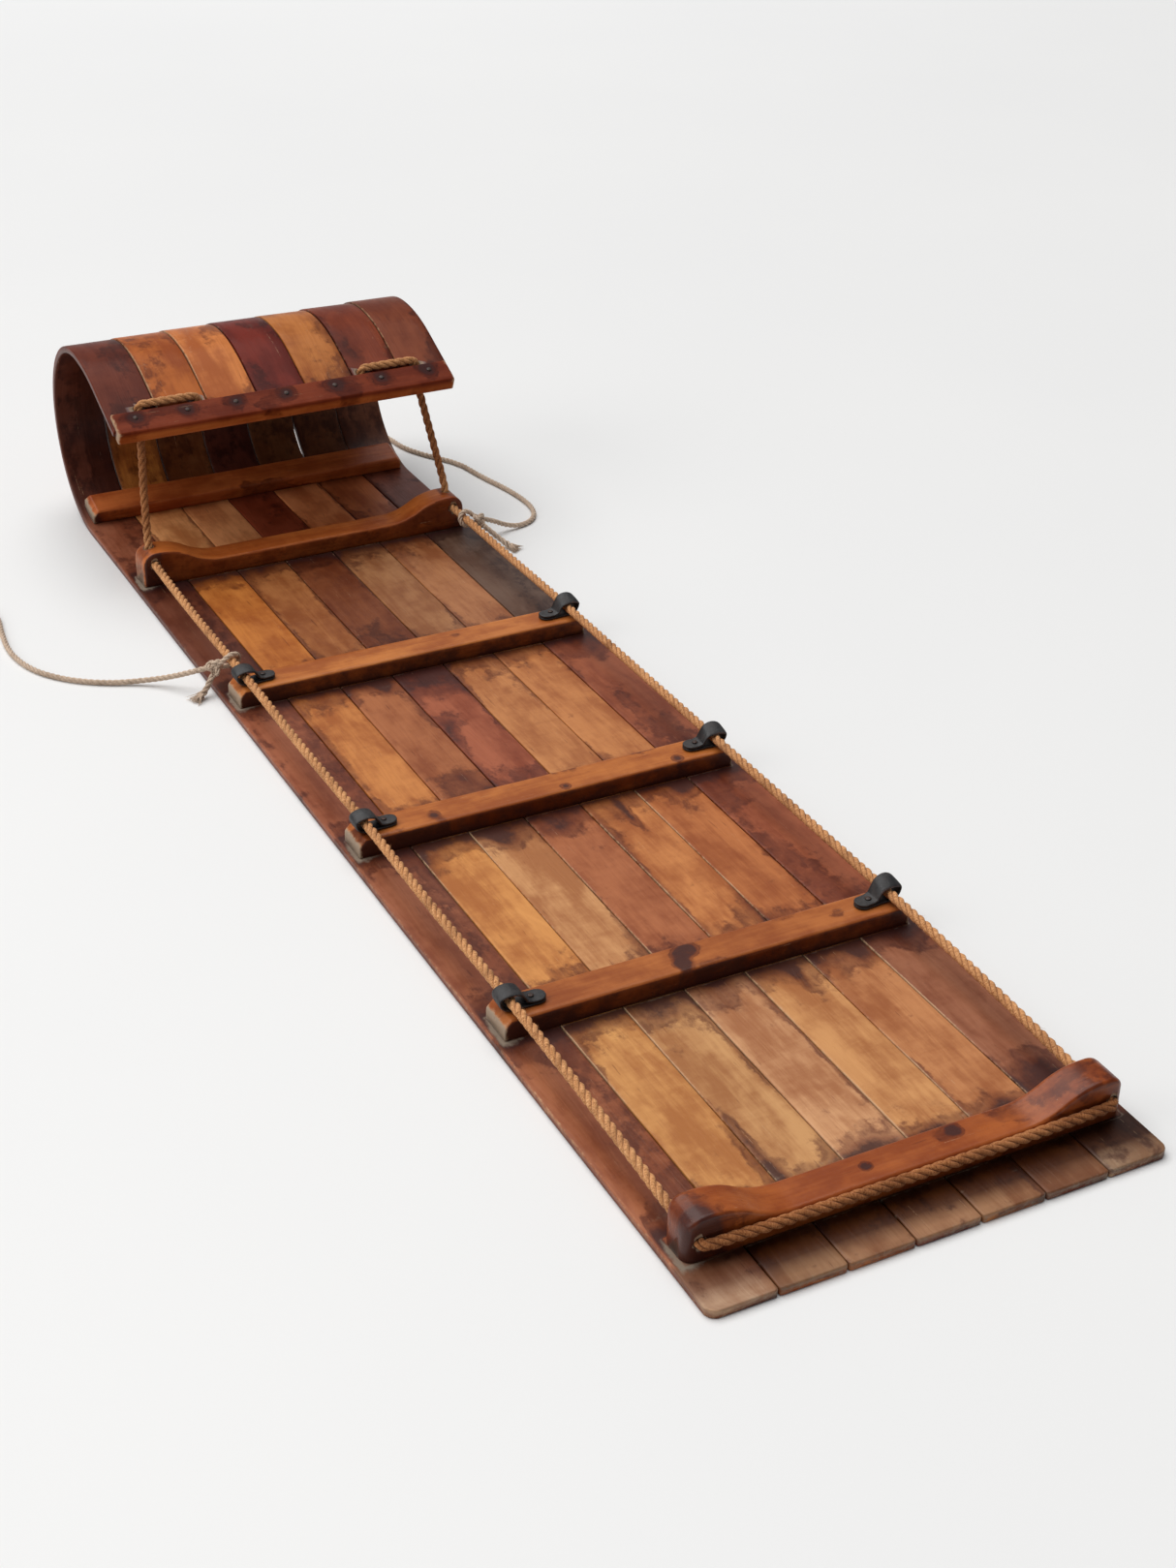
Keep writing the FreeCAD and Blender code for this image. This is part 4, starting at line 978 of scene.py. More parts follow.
CROSSBAR_WOODS = (
    wood("crossbar_wood_1", (0.460, 0.150, 0.034), 23.0, 0.9, 0.36),
    wood("crossbar_wood_2", (0.440, 0.137, 0.029), 27.0, 0.9, 0.36),
    wood("crossbar_wood_3", (0.385, 0.116, 0.027), 31.0, 0.9, 0.36),
)
KNOT_SPOTS = (
    ((0.06, 0.004, 0.006, 0.5),),
    ((-0.130, -0.006, 0.007, 1.1), (-0.126, -0.017, 0.006, 0.7), (0.02, -0.012, 0.005, 1.2),
     (0.155, -0.012, 0.006, 1.6)),
    ((-0.015, 0.009, 0.008, 3.0), (-0.025, 0.005, 0.006, 2.4), (-0.029, -0.009, 0.007, 2.6),
     (-0.030, -0.021, 0.005, 2.0), (-0.020, 0.002, 0.014, 0.45), (0.15, 0.0, 0.01, 0.4)),
)
for index, (label, place) in enumerate(BAR_PLACES):
    bar = solid_bar(label + "_wood", 11.7 * (index + 1), BAR_LENGTH / 2, BAR_DEPTH / 2, crossbar_top,
                    place, spots=KNOT_SPOTS[index], dark_rear=0.75)
    finish_piece(bar, CROSSBAR_WOODS[index], "wood_bar", ROOT, label)


def yoke_top(x):
    """The yoke's outline: a low middle, an S-curve up to each end and a round outer corner."""
    low, high = 0.0215, 0.044
    flat, bend, corner = 0.114, 0.080, 0.018
    half = YOKE_LENGTH / 2
    x = min(abs(x), half)
    swing = math.acos(1 - (high - low) / (2 * bend))
    turning = flat + bend * math.sin(swing)
    crest = flat + 2 * bend * math.sin(swing)
    if x <= flat:
        return low
    if x <= turning:
        return low + bend - math.sqrt(bend ** 2 - (x - flat) ** 2)
    if x <= crest:
        return high - bend + math.sqrt(bend ** 2 - (crest - x) ** 2)
    shoulder = half - corner
    if x <= shoulder:
        return high
    return high - corner + math.sqrt(max(0, corner ** 2 - (x - shoulder) ** 2))


BORE = 0.0059
BORE_X = 0.204
ROPE_LINE = 0.206
# Each yoke's name, place, seed, wood, looks, and the ends of its rope bores on the right side.
YOKES = (
    ("front_yoke", FRONT_YOKE, 50.3, wood("front_yoke_wood", (0.460, 0.125, 0.026), 37.0, 0.8, 0.34),
     {"spots": ((-0.204, 0.005, 0.014, 0.6), (0.204, 0.005, 0.014, 0.6)),
      "worn_ends": 0.5, "dark_rear": 0.45, "dark_ends": 0.014, "plan_round": 0.004},
     (((BORE_X, 0.005, 0.034), (BORE_X, 0.005, 0.064)),
      ((BORE_X, 0.0075, 0.038), (BORE_X, -0.0325, 0.038)))),
    ("rear_yoke", REAR_YOKE, 59.4, wood("rear_yoke_wood", (0.350, 0.088, 0.018), 41.0, 0.8, 0.26, 0.18),
     {"spots": ((-0.035, 0.001, 0.0045, 2.4), (0.058, 0.008, 0.006, 2.6), (0.046, 0.005, 0.012, 0.6),
                (0.120, 0.006, 0.024, 0.45), (0.165, 0.0, 0.026, 0.35), (-0.205, -0.019, 0.020, 0.7)),
      "worn_ends": 0.0, "dark_rear": 0.10, "dark_ends": 0.034, "plan_round": 0.010},
     (((ROPE_LINE, -0.03, 0.029), (ROPE_LINE, 0.03, 0.029)),)),
)
for label, place, seed, material, looks, bores in YOKES:
    bar = solid_bar(label + "_wood", seed, YOKE_LENGTH / 2, YOKE_DEPTH / 2, yoke_top, place,
                    top_round=0.0036, **looks)
    bore(bar, [[Vector((side * x, place + y, z)) for x, y, z in ends] + [BORE]
               for _, side in SIDES for ends in bores])
    finish_piece(bar, material, "wood_bar", ROOT, label)

FOOT_HEIGHT = 0.020
FOOT_TOP = CURL - THICK - FOOT_HEIGHT


def foot_bar():
    """The bar at the foot of the curl: its underside is curved to fit the inside of the curl."""
    turned = Matrix.Rotation(FOOT_TURN, 3, "X")
    inner = CURL - THICK
    half = BAR_LENGTH / 2
    rings = []
    for x in bar_stations(half):
        bevel = max(0, 0.006 - (half - abs(x)))
        ring = []
        for y, z in rounded_section(FOOT_DEPTH / 2, 0.0001, FOOT_HEIGHT, 0.004, 0.001, BAR_CUTS):
            low = FOOT_TOP - math.sqrt(inner ** 2 - y ** 2) + 0.0001
            up = low + z / FOOT_HEIGHT * (-bevel - low)
            spot = Vector((0, CURL_Y, CURL)) + turned @ Vector((x, y, up - FOOT_TOP))
            ring.append((spot, (y, x, z), bar_marks(77.7, x, y, z, FOOT_HEIGHT, half, FOOT_DEPTH / 2)))
        rings.append(ring)
    return wooden("foot_bar_wood", rings)


FOOT_WOOD = wood("foot_bar_wood", (0.45, 0.113, 0.027), 45.0, 0.9, 0.38)
finish_piece(foot_bar(), FOOT_WOOD, "wood_bar", ROOT, "foot_bar")

BATTEN_NAIL_LINE = 0.012
BATTEN_COVER = 0.006
BATTEN_LENGTH = 0.450
BATTEN_LIP = 0.025
BATTEN_TAIL = 0.012
BATTEN_DROP = 0.012
BATTEN_ROUND = 0.003


def tip_frame(x, along, off):
    """A point near the slats' tips: along the slope and off its upper face."""
    y = TIP.y + along * math.cos(DESCENT) - off * math.sin(DESCENT)
    z = TIP.z + along * math.sin(DESCENT) + off * math.cos(DESCENT)
    return Vector((x, y, z))


def batten_outline():
    """The batten's section as (along, off) points: it lies on the slats and hangs over their tips."""
    lip, tail, cover, drop = BATTEN_LIP, BATTEN_TAIL, BATTEN_COVER, BATTEN_DROP
    outline = [(0.0001, 0.0001), (0.012, 0.0001), (lip - 0.0008, 0.0001), (lip, 0.0009), (lip, 0.003)]
    across = [(lip - 0.003 - (lip + tail - 0.006) * i / 6, cover) for i in range(1, 6)]
    for centre, start, following in ((lip - 0.003, 0, across), (0.003 - tail, math.pi / 2, [])):
        for i in range(6):
            angle = start + math.pi / 2 * i / 5
            outline.append((centre + BATTEN_ROUND * math.cos(angle),
                            cover - BATTEN_ROUND + BATTEN_ROUND * math.sin(angle)))
        outline += following
    return outline + [(-tail, -0.002), (-tail, -0.007), (-tail, -drop + 0.001), (0.001 - tail, -drop),
                      (-0.001, -drop), (0.0, 0.001 - drop), (0.0, -0.006)]


def batten_marks(x, along, off):
    """Dark rings round the nails, bare ends and edges, and grime on the part past the tips."""
    end = BATTEN_LENGTH / 2 - abs(x)
    nearest = min(SLAT_MIDDLES, key=lambda middle: abs(x - middle))
    reach = math.hypot(x - nearest, along - BATTEN_NAIL_LINE)
    stain = 1.25 * math.exp(-(reach / 0.0105) ** 2) + 0.40 * math.exp(-reach / 0.018)
    stain += 0.40 * smoothstep(0.5, 0.8, rough(x * 18, along * 30, 9.1))
    bare = 0.70 * math.exp(-end / 0.005)
    if off > BATTEN_COVER - 0.004 and (along > BATTEN_LIP - 0.003 or along < 0.003 - BATTEN_TAIL):
        bare += 0.28 * rough(x * 25, along, 1.7)
    grime = 0.55 * math.exp(-end / 0.002) + 0.25 * rough(x * 30, along * 60, 3.9) * (along < 0)
    return marked(stain, grime, bare)


def nose_batten():
    """The batten across the slats' tips, paler on its hanging face."""
    half = BATTEN_LENGTH / 2
    ends = {side * (half - d) for _, side in SIDES for d in (0.0005, 0.0015, 0.003)}
    rings = []
    for x in sorted(set(steps(-half, half, 0.005)) | ends):
        pinch = eased(0.0022, half - abs(x))
        wear = 0.0006 * (rough(x * 11, 5.5, 0.2) - 0.5)
        ring = []
        for along, off in batten_outline():
            squeezed = off - (pinch + wear if off > BATTEN_COVER / 2 else 0)
            pulled = along - (pinch if along > BATTEN_LIP / 2 else -pinch if along < -0.004 else 0)
            lip_face = smoothstep(0.0035, 0.0015, off) if along < 0 else 0.0
            tint = (*blended((0.175, 0.030, 0.010), (0.360, 0.098, 0.024), lip_face), 1)
            ring.append((tip_frame(x, pulled, squeezed), (along, x, off),
                         batten_marks(x, along, off), tint))
        rings.append(ring)
    return wooden("nose_batten_wood", rings)


BATTEN_WOOD = wood("batten_wood", None, 53.0, 0.9, 0.42, 0.0, 0.35)
finish_piece(nose_batten(), BATTEN_WOOD, "wood_bar", ROOT, "nose_batten")


# ---------------------------------------------------------------- nails and screws

def lathe_into(mesh, place, axis, outline, around, squash=1.0, spin=0.0):
    """Turns (radius, height) points about an axis; the first and last points close the ends."""
    turn = axis.to_track_quat("Z", "Y")
    vertices = []
    for radius, height in outline:
        for j in range(around):
            angle = 2 * math.pi * j / around + spin
            local = Vector((radius * math.cos(angle) * squash, radius * math.sin(angle), height))
            vertices.append(place + turn @ local)
    mesh.add(vertices, ring_faces(len(outline), around))


def nail_into(mesh, place, axis, radius, crown, rng):
    """A domed nail head that has been hammered a little out of round, on its shank."""
    lean = Vector((rng.uniform(-0.09, 0.09), rng.uniform(-0.09, 0.09), 1)).normalized()
    turned = (axis.to_track_quat("Z", "Y") @ lean).normalized()
    outline = [(radius * 0.42, -0.009), (radius * 0.42, 0.0), (radius * 0.93, 0.0001),
               (radius, crown * 0.22)]
    for i in range(1, 6):
        angle = math.pi / 2 * i / 5.6
        outline.append((radius * math.cos(angle), crown * (0.22 + 0.78 * math.sin(angle))))
    outline.append((radius * 0.02, crown * rng.uniform(0.93, 1.0)))
    lathe_into(mesh, place, turned, outline, 20, rng.uniform(0.92, 1.0), rng.uniform(0, 3))


def batten_nails():
    rng = random.Random(4)
    mesh = Mesh()
    for middle in SLAT_MIDDLES:
        x = middle + rng.uniform(-0.0015, 0.0015)
        place = tip_frame(x, BATTEN_NAIL_LINE, BATTEN_COVER - 0.0002)
        nail_into(mesh, place, tip_frame(0, 0, 1) - tip_frame(0, 0, 0), 0.0034, 0.0017, rng)
    return mesh.build("batten_nail_heads")


finish_piece(batten_nails(), STEEL, "fastener", ROOT, "nose_batten_nails")


def screw_into(mesh, place, inward, spin):
    """A slotted screw head, flush with the wood; inward is the way the screw is driven."""
    outward = -inward
    turn = outward.to_track_quat("Z", "Y") @ Matrix.Rotation(spin, 3, "Z").to_quaternion()
    radius, slot, deep = 0.0041, 0.0006, 0.0009
    start = math.asin(slot / radius)
    for sign in (0, math.pi):
        arc = [start + (math.pi - 2 * start) * i / 12 + sign for i in range(13)]
        rim = [Vector((radius * math.cos(a), radius * math.sin(a), 0)) for a in arc]
        top = [place + turn @ p for p in rim]
        low = [place + turn @ (p - Vector((0, 0, deep))) for p in rim]
        count = len(rim)
        faces = [tuple(range(count)), tuple(range(count, 2 * count))[::-1]]
        faces += [(i, i + count, (i + 1) % count + count, (i + 1) % count) for i in range(count)]
        mesh.add(top + low, faces)
    shank = [(radius, 0.0), (0.0020, 0.0020), (0.0020, 0.011), (0.0002, 0.016)]
    lathe_into(mesh, place + inward * deep, inward, shank, 16)


def screws_of(label, feet, inward):
    """The screws of one bar, driven at these feet; each slot has a turn of its own."""
    rng = random.Random(len(label) * 7)
    mesh = Mesh()
    for foot in feet:
        screw_into(mesh, foot + inward * 0.00012, inward, rng.uniform(0, math.pi))
    obj = mesh.build(label + "_heads", smooth=False)
    finish_piece(obj, STEEL, "fastener", ROOT, label + "_screws")


for label, place in BAR_PLACES + (("front_yoke", FRONT_YOKE), ("rear_yoke", REAR_YOKE)):
    screws_of(label, [Vector((x, place, 0)) for x in SLAT_MIDDLES], Z_AXIS)
foot_inward = Vector((0, -math.sin(FOOT_TURN), math.cos(FOOT_TURN)))
foot_feet = [Vector((x, CURL_Y, CURL)) - foot_inward * (CURL + 0.0002) for x in SLAT_MIDDLES]
screws_of("foot_bar", foot_feet, foot_inward)


# ---------------------------------------------------------------- leather loops

STRAP_LOW = 0.0303
STRAP_THICK = 0.0028
STRAP_WIDTH = 0.0188
STRAP_ROUND = 0.0094
STRAP_FOLD = 0.1905
RING = Vector((0.207, 0.0428))


def strap_line(inner, swell):
    """The strap's middle line as (x, z): in under the rope, round it and back over the nail."""
    low = STRAP_LOW + 0.0015
    high = STRAP_LOW + 0.0045
    points = [(x, low) for x in (inner, 0.176, 0.184, 0.192, 0.200)]
    for i in range(1, 14):
        angle = -math.pi / 2 + math.radians(232) * i / 13
        radius = 0.0110 + swell * math.sin(max(0, angle))
        points.append((RING.x + radius * math.cos(angle), RING.y + radius * math.sin(angle)))
    points += [(STRAP_FOLD, high + 0.0016), (0.1855, high + 0.0001)]
    return points + [(x, high) for x in (0.182, 0.176, inner)]


def leather_loop(label, side, place, rng):
    """A strap folded round the rope. Each is turned, leans and is pressed down a little, the left
    ones by other shares than the right ones."""
    rear_press, front_press = (0.76, 0.86) if side < 0 else (0.70, 0.97)
    inner = 0.169 + rng.uniform(0, 0.0015)
    line = [Vector((x, 0, z)) for x, z in strap_line(inner, rng.uniform(-0.0004, 0.0008))]
    dense = [a.lerp(b, t) for a, b in zip(line, line[1:]) for t in (0, 0.34, 0.67)]
    dense = evenly(dense + [line[-1]], 0.0016)
    total = length_of(dense)
    section = [(-1 + 2 * i / 9, 1) for i in range(10)] + [(1 - 2 * i / 9, -1) for i in range(10)]
    turned = Matrix.Rotation(rng.uniform(-1, 1) * math.radians(4), 3, "Z")
    skew = rng.uniform(-0.0012, 0.0012)
    pivot = Vector((side * NAIL_LINE, place, 0))
    mesh = Mesh("marks")
    vertices, marks = [], []
    travelled = 0
    for i, point in enumerate(dense):
        tangent = tangent_at(dense, i)
        normal = Vector((-tangent.z, 0, tangent.x))
        if i:
            travelled += (point - dense[i - 1]).length
        near = min(travelled, total - travelled)
        narrowed = math.sqrt(max(0.0, 1 - max(0, 1 - (near + 0.0003) / STRAP_ROUND) ** 2))
        half = STRAP_WIDTH / 2 * max(0.12, narrowed)
        half *= 1 + 0.05 * (rough(travelled * 120, side * 3 + place * 9, 0.4) - 0.5)
        lean = skew * math.sin(math.pi * travelled / total)
        raised = smoothstep(STRAP_LOW + 0.008, STRAP_LOW + 0.024, point.z)
        for u, v in section:
            thinned = 1 - 0.30 * max(0, abs(u) - 0.72) / 0.28
            ripple = 0.00022 * (rough(travelled * 220, u * 2.5, place * 7 + side) - 0.5)
            local = point + normal * (v * STRAP_THICK / 2 * thinned + 0.0007 * raised * u * u + ripple)
            pressed = rear_press + (front_press - rear_press) * (u + 1) / 2
            local.z = STRAP_LOW + (local.z - STRAP_LOW) * (1 - (1 - pressed) * raised)
            bulge = min(1, abs(local.x - RING.x) / 0.008)
            local.x += 0.0016 * raised * math.copysign(1, local.x - RING.x) * bulge
            spot = Vector((side * local.x, place + u * half + lean, local.z))
            vertices.append(pivot + turned @ (spot - pivot))
            rim = max(0, abs(u) - 0.7) / 0.3
            rubbed = (0.75 if side > 0 else 0.35) * raised * rough(u * 3, travelled * 70, place)
            marks.append(marked(0, 0, 0.55 * rim + rubbed))
    mesh.add(vertices, ring_faces(len(dense), len(section)), marks=marks)
    obj = mesh.build(label + "_strap")
    rounded = obj.modifiers.new("soften", "SUBSURF")
    rounded.levels = rounded.render_levels = 1
    bpy.context.view_layer.objects.active = obj
    bpy.ops.object.modifier_apply(modifier=rounded.name)
    return obj


loop_rng = random.Random(12)
nails = Mesh()
for side_name, side in SIDES:
    for index, (_, place) in enumerate(BAR_PLACES, start=1):
        label = "loop_%s_%d" % (side_name, index)
        strap = leather_loop(label, side, place, loop_rng)
        finish_piece(strap, LEATHER, "leather", label, label)
        head = Vector((side * NAIL_LINE, place, STRAP_LOW + 0.0062))
        nail_into(nails, head, Z_AXIS, 0.0033, 0.0016, loop_rng)
finish_piece(nails.build("loop_nail_heads"), STEEL, "fastener", ROOT, "loop_nails")


# ---------------------------------------------------------------- side rope

BEHIND_Y = REAR_YOKE - YOKE_DEPTH / 2 - 0.0054


def half_route(side, rng):
    """Half of the side rope's route, from its stopper knot to the middle of the rear yoke. Between
    two loops it sags a little and bows to one side."""
    inner, outer = ROPE_HOLES
    hole_y, over = ROPE_HOLE_Y, ROPE_HOLE_Z + 0.0053 / math.cos(DESCENT)
    route = [
        (inner, hole_y, 0.186), (inner, hole_y, over - 0.014), (inner, hole_y, over),
        (inner + 0.014, hole_y, over), (0.1485, hole_y - 0.001, over + 0.0008),
        (outer - 0.014, hole_y, over), (outer, hole_y, over), (outer, hole_y, over - 0.014),
        (outer, hole_y - 0.001, 0.196), (0.190, hole_y - 0.010, 0.170),
        (0.1975, FRONT_YOKE + 0.027, 0.113), (0.2025, FRONT_YOKE + 0.010, 0.070),
        (BORE_X, FRONT_YOKE + 0.005, 0.052), (BORE_X, FRONT_YOKE + 0.005, 0.038),
        (BORE_X, FRONT_YOKE - 0.008, 0.038), (BORE_X, FRONT_YOKE - 0.025, 0.0378),
        (0.205, FRONT_YOKE - 0.060, 0.0378), (ROPE_LINE, 0.400, 0.0370),
    ]
    loops = [place for _, place in BAR_PLACES]
    for start, end in zip(loops, loops[1:]):
        route += [(ROPE_LINE, start + d, z) for d, z in ((0.05, 0.0390), (0, 0.0392), (-0.05, 0.0390))]
        route.append((ROPE_LINE + rng.uniform(-0.0015, 0.0018), (start + end) / 2, 0.0376))
    last = loops[-1]
    for y, z in ((last + 0.05, 0.0390), (last, 0.0390), (last - 0.05, 0.0385), (-0.62, 0.0365),
                 (-0.72, 0.0325), (REAR_YOKE + 0.045, 0.0293), (REAR_YOKE + 0.019, 0.029),
                 (REAR_YOKE - 0.010, 0.029), (BEHIND_Y, 0.029)):
        route.append((ROPE_LINE, y, z))
    route += [(0.192, BEHIND_Y, 0.0288), (0.120, BEHIND_Y - 0.0004, 0.0276)]
    return [Vector((side * x, y, z)) for x, y, z in route]


rope_rng = random.Random(5)
left_route = half_route(-1, rope_rng)
right_route = half_route(1, rope_rng)
rope_line = centreline(left_route + [Vector((0.01, BEHIND_Y, 0.0270))] + right_route[::-1])
rope_mesh = Mesh("strand")
walked = laid_rope(rope_mesh, rope_line, ROPE, lay=3.5, step=0.26)
fuzz(rope_mesh, walked, ROPE, 420, rope_rng, 0.55)
finish_piece(rope_mesh.build("side_rope_strands"), MANILA, "rope", ROOT, "side_rope")


def knot_line(place, across, along, size, depth):
    """A tight overhand knot: a closed trefoil about a place; depth scales how thick it is."""
    third = across.cross(along)
    points = []
    for i in range(15):
        t = 2 * math.pi * i / 15
        a = math.sin(t) + 2 * math.sin(2 * t)
        b = math.cos(t) - 2 * math.cos(2 * t)
        c = -math.sin(3 * t)
        points.append(place + (across * a + along * b) * size / 3 + third * c * size / 2.2 * depth)
    return centreline(points, closed=True)


for side_name, side in SIDES:
    stopper = Mesh("strand")
    place = Vector((side * ROPE_HOLES[0], ROPE_HOLE_Y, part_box("rope_knot_" + side_name)[1][2] - 0.0095))
    knot = knot_line(place, X_AXIS, Y_AXIS, 0.0068, 0.9)
    laid_rope(stopper, knot, ROPE * 0.92, lay=3.2)
    knotted = stopper.build("rope_knot_%s_strands" % side_name)
    finish_piece(knotted, MANILA, "rope", ROOT, "rope_knot_" + side_name)


# ---------------------------------------------------------------- pull cords

LEFT_ROUTE = [
    (-0.233, 0.277, 0.032), (-0.252, 0.291, 0.023), (-0.274, 0.312, 0.0115), (-0.302, 0.330, 0.005),
    (-0.336, 0.344, REST), (-0.374, 0.371, REST), (-0.404, 0.411, REST), (-0.417, 0.465, REST),
    (-0.412, 0.522, REST), (-0.402, 0.577, REST), (-0.418, 0.630, REST), (-0.450, 0.676, REST),
]
RIGHT_ROUTE = [
    (0.230, 0.522, 0.0315), (0.249, 0.530, 0.022), (0.270, 0.536, 0.009), (0.292, 0.537, REST),
    (0.314, 0.546, REST), (0.329, 0.568, REST), (0.335, 0.600, REST), (0.330, 0.652, REST),
    (0.315, 0.712, REST), (0.307, 0.768, REST), (0.280, 0.808, REST), (0.258, 0.852, REST),
    (0.254, 0.900, REST), (0.236, 0.945, REST), (0.200, 0.975, REST),
]
LEFT_COIL = Vector((-0.47873, 0.65601, 0))
RIGHT_COIL = Vector((0.17759, 0.94811, 0))
CORD_LENGTH = 1.2


def coiled(route, centre):
    """A route followed by neat turns about a coil's centre, until the cord's length is used up. The
    turns lie in two layers and stay within a few millimetres of each other."""
    points = [Vector(p) for p in route]
    spare = CORD_LENGTH - length_of(centreline(points))
    arm = Vector((points[-1].x, points[-1].y, 0)) - centre
    start, radius = math.atan2(arm.y, arm.x), arm.length
    angle = 0.0
    step = math.radians(27)
    while spare > radius * step:
        angle += step
        turn = angle / (2 * math.pi)
        layer = min(1.0, max(0.0, (turn - 1.55) / 0.5))
        r = radius + 0.0034 - 0.0062 * min(turn, 1.35) + 0.0066 * max(0, turn - 1.75) * 0.8
        r = min(max(r, radius - 0.0050), radius + 0.0034)
        across = Vector((r * math.cos(start + angle), r * math.sin(start + angle), 0))
        points.append(centre + across + Z_AXIS * (REST + 0.0062 * layer))
        spare -= r * step
    return points


def cord_piece(mesh, name, side_name, *others):
    """Builds a piece of a pull cord; it stands for the CAD nodes of the same names."""
    obj = mesh.build("%s_%s_strands" % (name, side_name))
    nodes = [node + "_" + side_name for node in (name, *others)]
    finish_piece(obj, GREY_CORD, "pull_cord", ROOT, *nodes)
    return obj


def tied_knot(knot_place, ring_place, rng):
    """A turn round the side rope at ring_place and an overhand knot beside it."""
    mesh = Mesh("strand")
    out = knot_place - ring_place
    out.y = 0
    out.normalize()
    around = out.cross(Y_AXIS).normalized()
    reach = ROPE / 2 + CORD / 2 + 0.0008
    loop = [knot_place + Y_AXIS * 0.002]
    for i in range(9):
        angle = math.radians(58) + math.radians(244) * i / 8
        spot = ring_place + (out * math.cos(angle) + around * math.sin(angle)) * reach
        loop.append(spot + Y_AXIS * 0.0035 * math.sin(angle))
    loop.append(knot_place - Y_AXIS * 0.002)
    laid_rope(mesh, centreline(loop), CORD * 0.94)
    trefoil = knot_line(knot_place, (out * 0.9 + Y_AXIS * 0.45).normalized(),
                        Vector((0, 0.35, 0.94)).normalized(), 0.0088, 0.85)
    laid_rope(mesh, trefoil, CORD * 0.95)
    fuzz(mesh, evenly(trefoil, 0.002), CORD, 30, rng, 0.45)
    return mesh


def frayed_tail(route, rng):
    """The knot's short end: its strands spread and end in loose fibres that sink to the floor."""
    mesh = Mesh("strand")
    stem = centreline([Vector(p) for p in route])
    laid_rope(mesh, stem, CORD * 1.05, open_by=lambda share: 1 + 0.7 * smoothstep(0.60, 1.0, share))
    heading = (stem[-1] - stem[-4]).normalized()
    flat = Vector((heading.x, heading.y, 0)).normalized()
    sideways = Vector((-flat.y, flat.x, 0))
    for _ in range(90):
        swing = rng.uniform(-0.75, 0.75)
        long = rng.uniform(0.007, 0.016)
        start = stem[-1] + sideways * rng.uniform(-1, 1) * CORD * 0.55 - heading * 0.003
        start.z = max(0.0008, start.z + rng.uniform(-1, 1) * CORD * 0.5)
        middle = start + (flat + sideways * swing * 0.5) * long * 0.5
        end = start + (flat + sideways * swing) * long
        middle.z = max(0.0008, start.z * 0.8)
        end.z = max(0.0006, start.z * rng.uniform(0.1, 0.8))
        tube_into(mesh, [start, middle, end], lambda share: 0.00060 * (1.15 - share), 5, rng.random())
    return mesh


def pull_cord(side_name, route, centre, knot_place, ring_place, tail_route, seed):
    """One pull cord: its long part with the coil, its knot on the side rope at ring_place, the
    knot's frayed tail, and the small knot at its far end."""
    rng = random.Random(seed)
    line = centreline(coiled(route, centre))
    body = Mesh("strand")
    walked = laid_rope(body, line, CORD, step=0.30)
    fuzz(body, walked, CORD, 150, rng, 0.45)
    cord = cord_piece(body, "pull_cord", side_name, "pull_coil")
    tied = cord_piece(tied_knot(knot_place, ring_place, rng), "pull_knot", side_name)
    frayed = cord_piece(frayed_tail(tail_route, rng), "pull_tail", side_name)
    stop = Mesh("strand")
    stop_place = Vector((line[-1].x, line[-1].y, max(line[-1].z, 0.0115)))
    laid_rope(stop, knot_line(stop_place, X_AXIS, Y_AXIS, 0.0036, 0.6), CORD * 0.8)
    ended = cord_piece(stop, "pull_end", side_name)


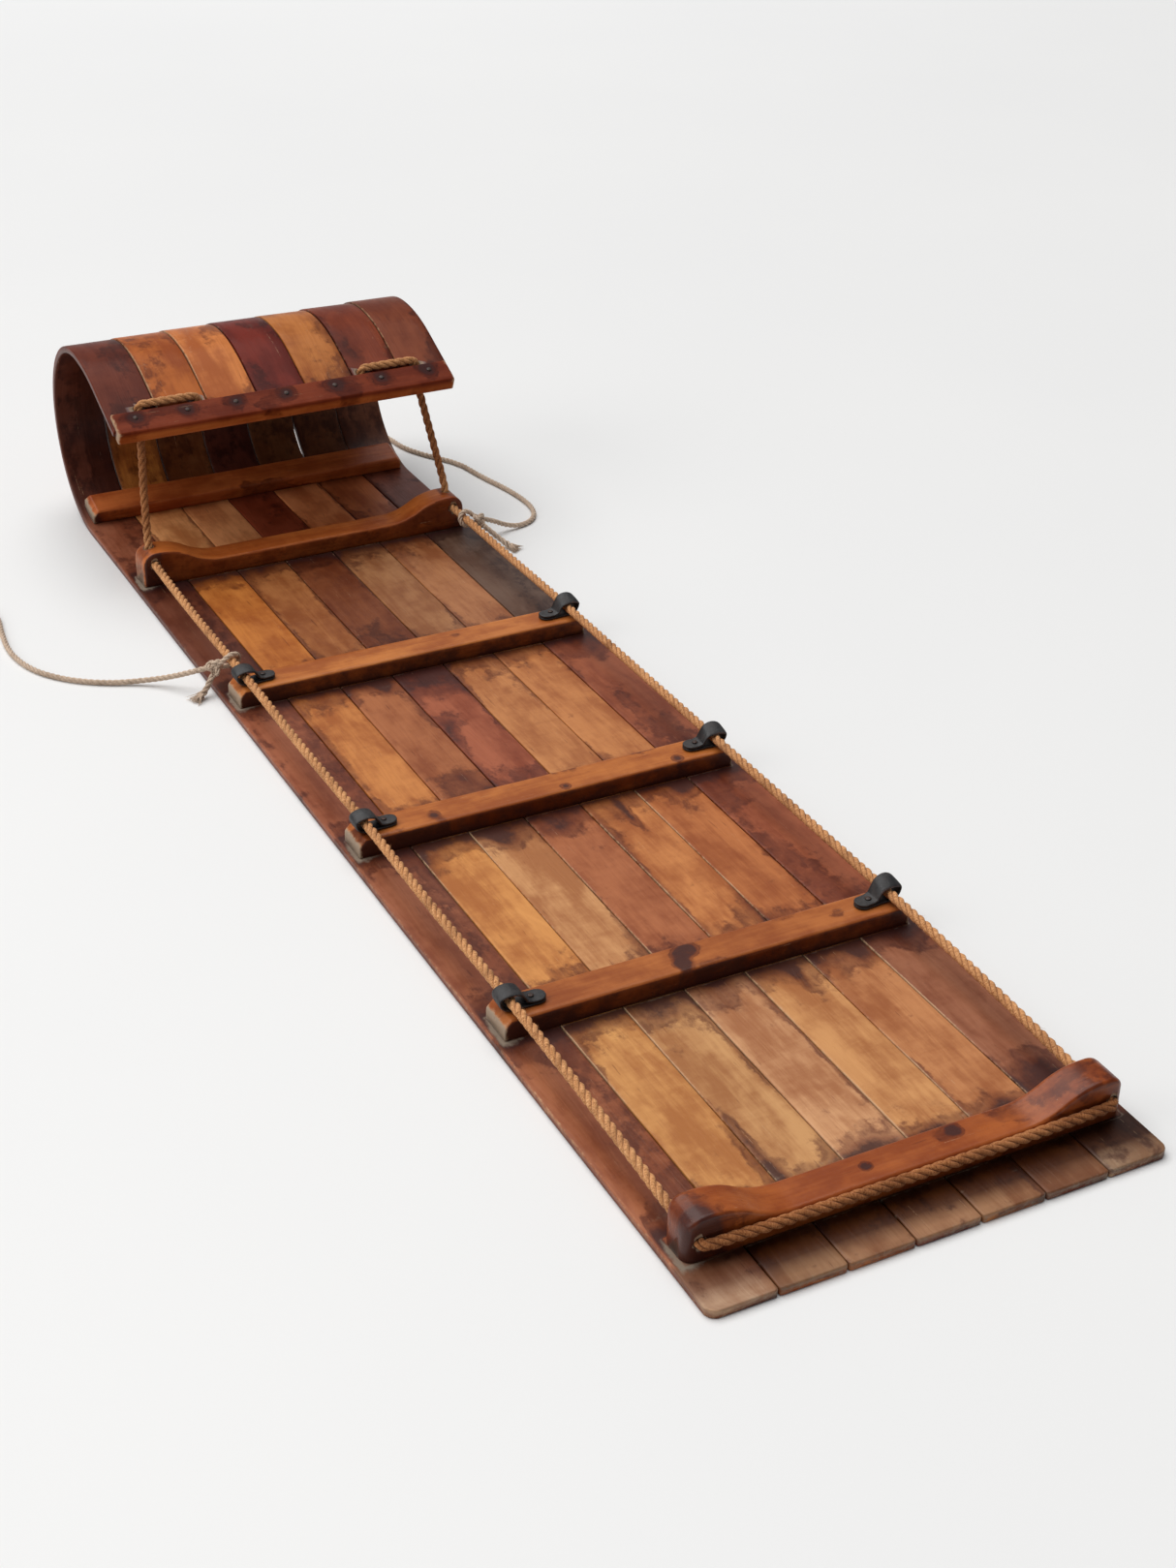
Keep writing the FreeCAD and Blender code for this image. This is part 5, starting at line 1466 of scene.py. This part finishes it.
LEFT_TAIL = [(-0.230, 0.269, 0.026), (-0.237, 0.268, 0.015), (-0.242, 0.266, 0.008),
             (-0.249, 0.263, 0.0045)]
RIGHT_TAIL = [(0.227, 0.512, 0.0265), (0.238, 0.503, 0.016), (0.246, 0.493, 0.008),
              (0.253, 0.480, REST)]
LEFT_KNOT, LEFT_RING = Vector((-0.226, 0.273, 0.033)), Vector((-0.206, 0.270, 0.0392))
RIGHT_KNOT, RIGHT_RING = Vector((0.223, 0.518, 0.033)), Vector((0.2052, 0.519, 0.0380))
pull_cord("left", LEFT_ROUTE, LEFT_COIL, LEFT_KNOT, LEFT_RING, LEFT_TAIL, 21)
pull_cord("right", RIGHT_ROUTE, RIGHT_COIL, RIGHT_KNOT, RIGHT_RING, RIGHT_TAIL, 22)


# ---------------------------------------------------------------- floor and light

def make_floor(half):
    corners = [(-half, -half, 0), (half, -half, 0), (half, half, 0), (-half, half, 0)]
    floor = make_object("floor", [Vector(c) for c in corners], [(0, 1, 2, 3)])
    floor.data.materials.append(pale_floor())


def area_light(name, place, target, size, power, colour):
    """A rectangular light at a place that faces its target; the camera doesn't see it."""
    data = bpy.data.lights.new(name, "AREA")
    data.shape = "RECTANGLE"
    data.size, data.size_y = size
    data.energy = power
    data.color = colour
    light = bpy.data.objects.new(name, data)
    light.location = place
    light.rotation_euler = (Vector(target) - Vector(place)).to_track_quat("-Z", "Y").to_euler()
    light.visible_camera = False
    bpy.context.collection.objects.link(light)


def soft_sun(azimuth, elevation, spread, power):
    """A wide soft light, the same all over the floor; at azimuth 0 it shines from +Y."""
    data = bpy.data.lights.new("soft_sun", "SUN")
    data.energy = power
    data.angle = math.radians(spread)
    data.color = (1.0, 0.992, 0.98)
    light = bpy.data.objects.new("soft_sun", data)
    turn, lift = math.radians(azimuth), math.radians(elevation)
    source = Vector((math.sin(turn) * math.cos(lift), math.cos(turn) * math.cos(lift), math.sin(lift)))
    light.rotation_euler = source.to_track_quat("Z", "Y").to_euler()
    bpy.context.collection.objects.link(light)


make_floor(9.0)
soft_sun(-20, 70, 66, 2.65)
area_light("far_panel", (0.9, 4.4, 1.3), (0, 0, 0.3), (5.0, 2.2), 9, (0.95, 0.97, 1.0))
area_light("left_panel", (-3.4, 0.4, 1.9), (0, 0.3, 0.1), (3.0, 2.2), 36, (1.0, 0.99, 0.97))
world = bpy.data.worlds.new("studio")
world.use_nodes = True
sky = world.node_tree.nodes["Background"]
sky.inputs["Color"].default_value = (0.93, 0.96, 1.0, 1)
sky.inputs["Strength"].default_value = 0.19
bpy.context.scene.world = world
bpy.context.scene.view_settings.view_transform = "Standard"
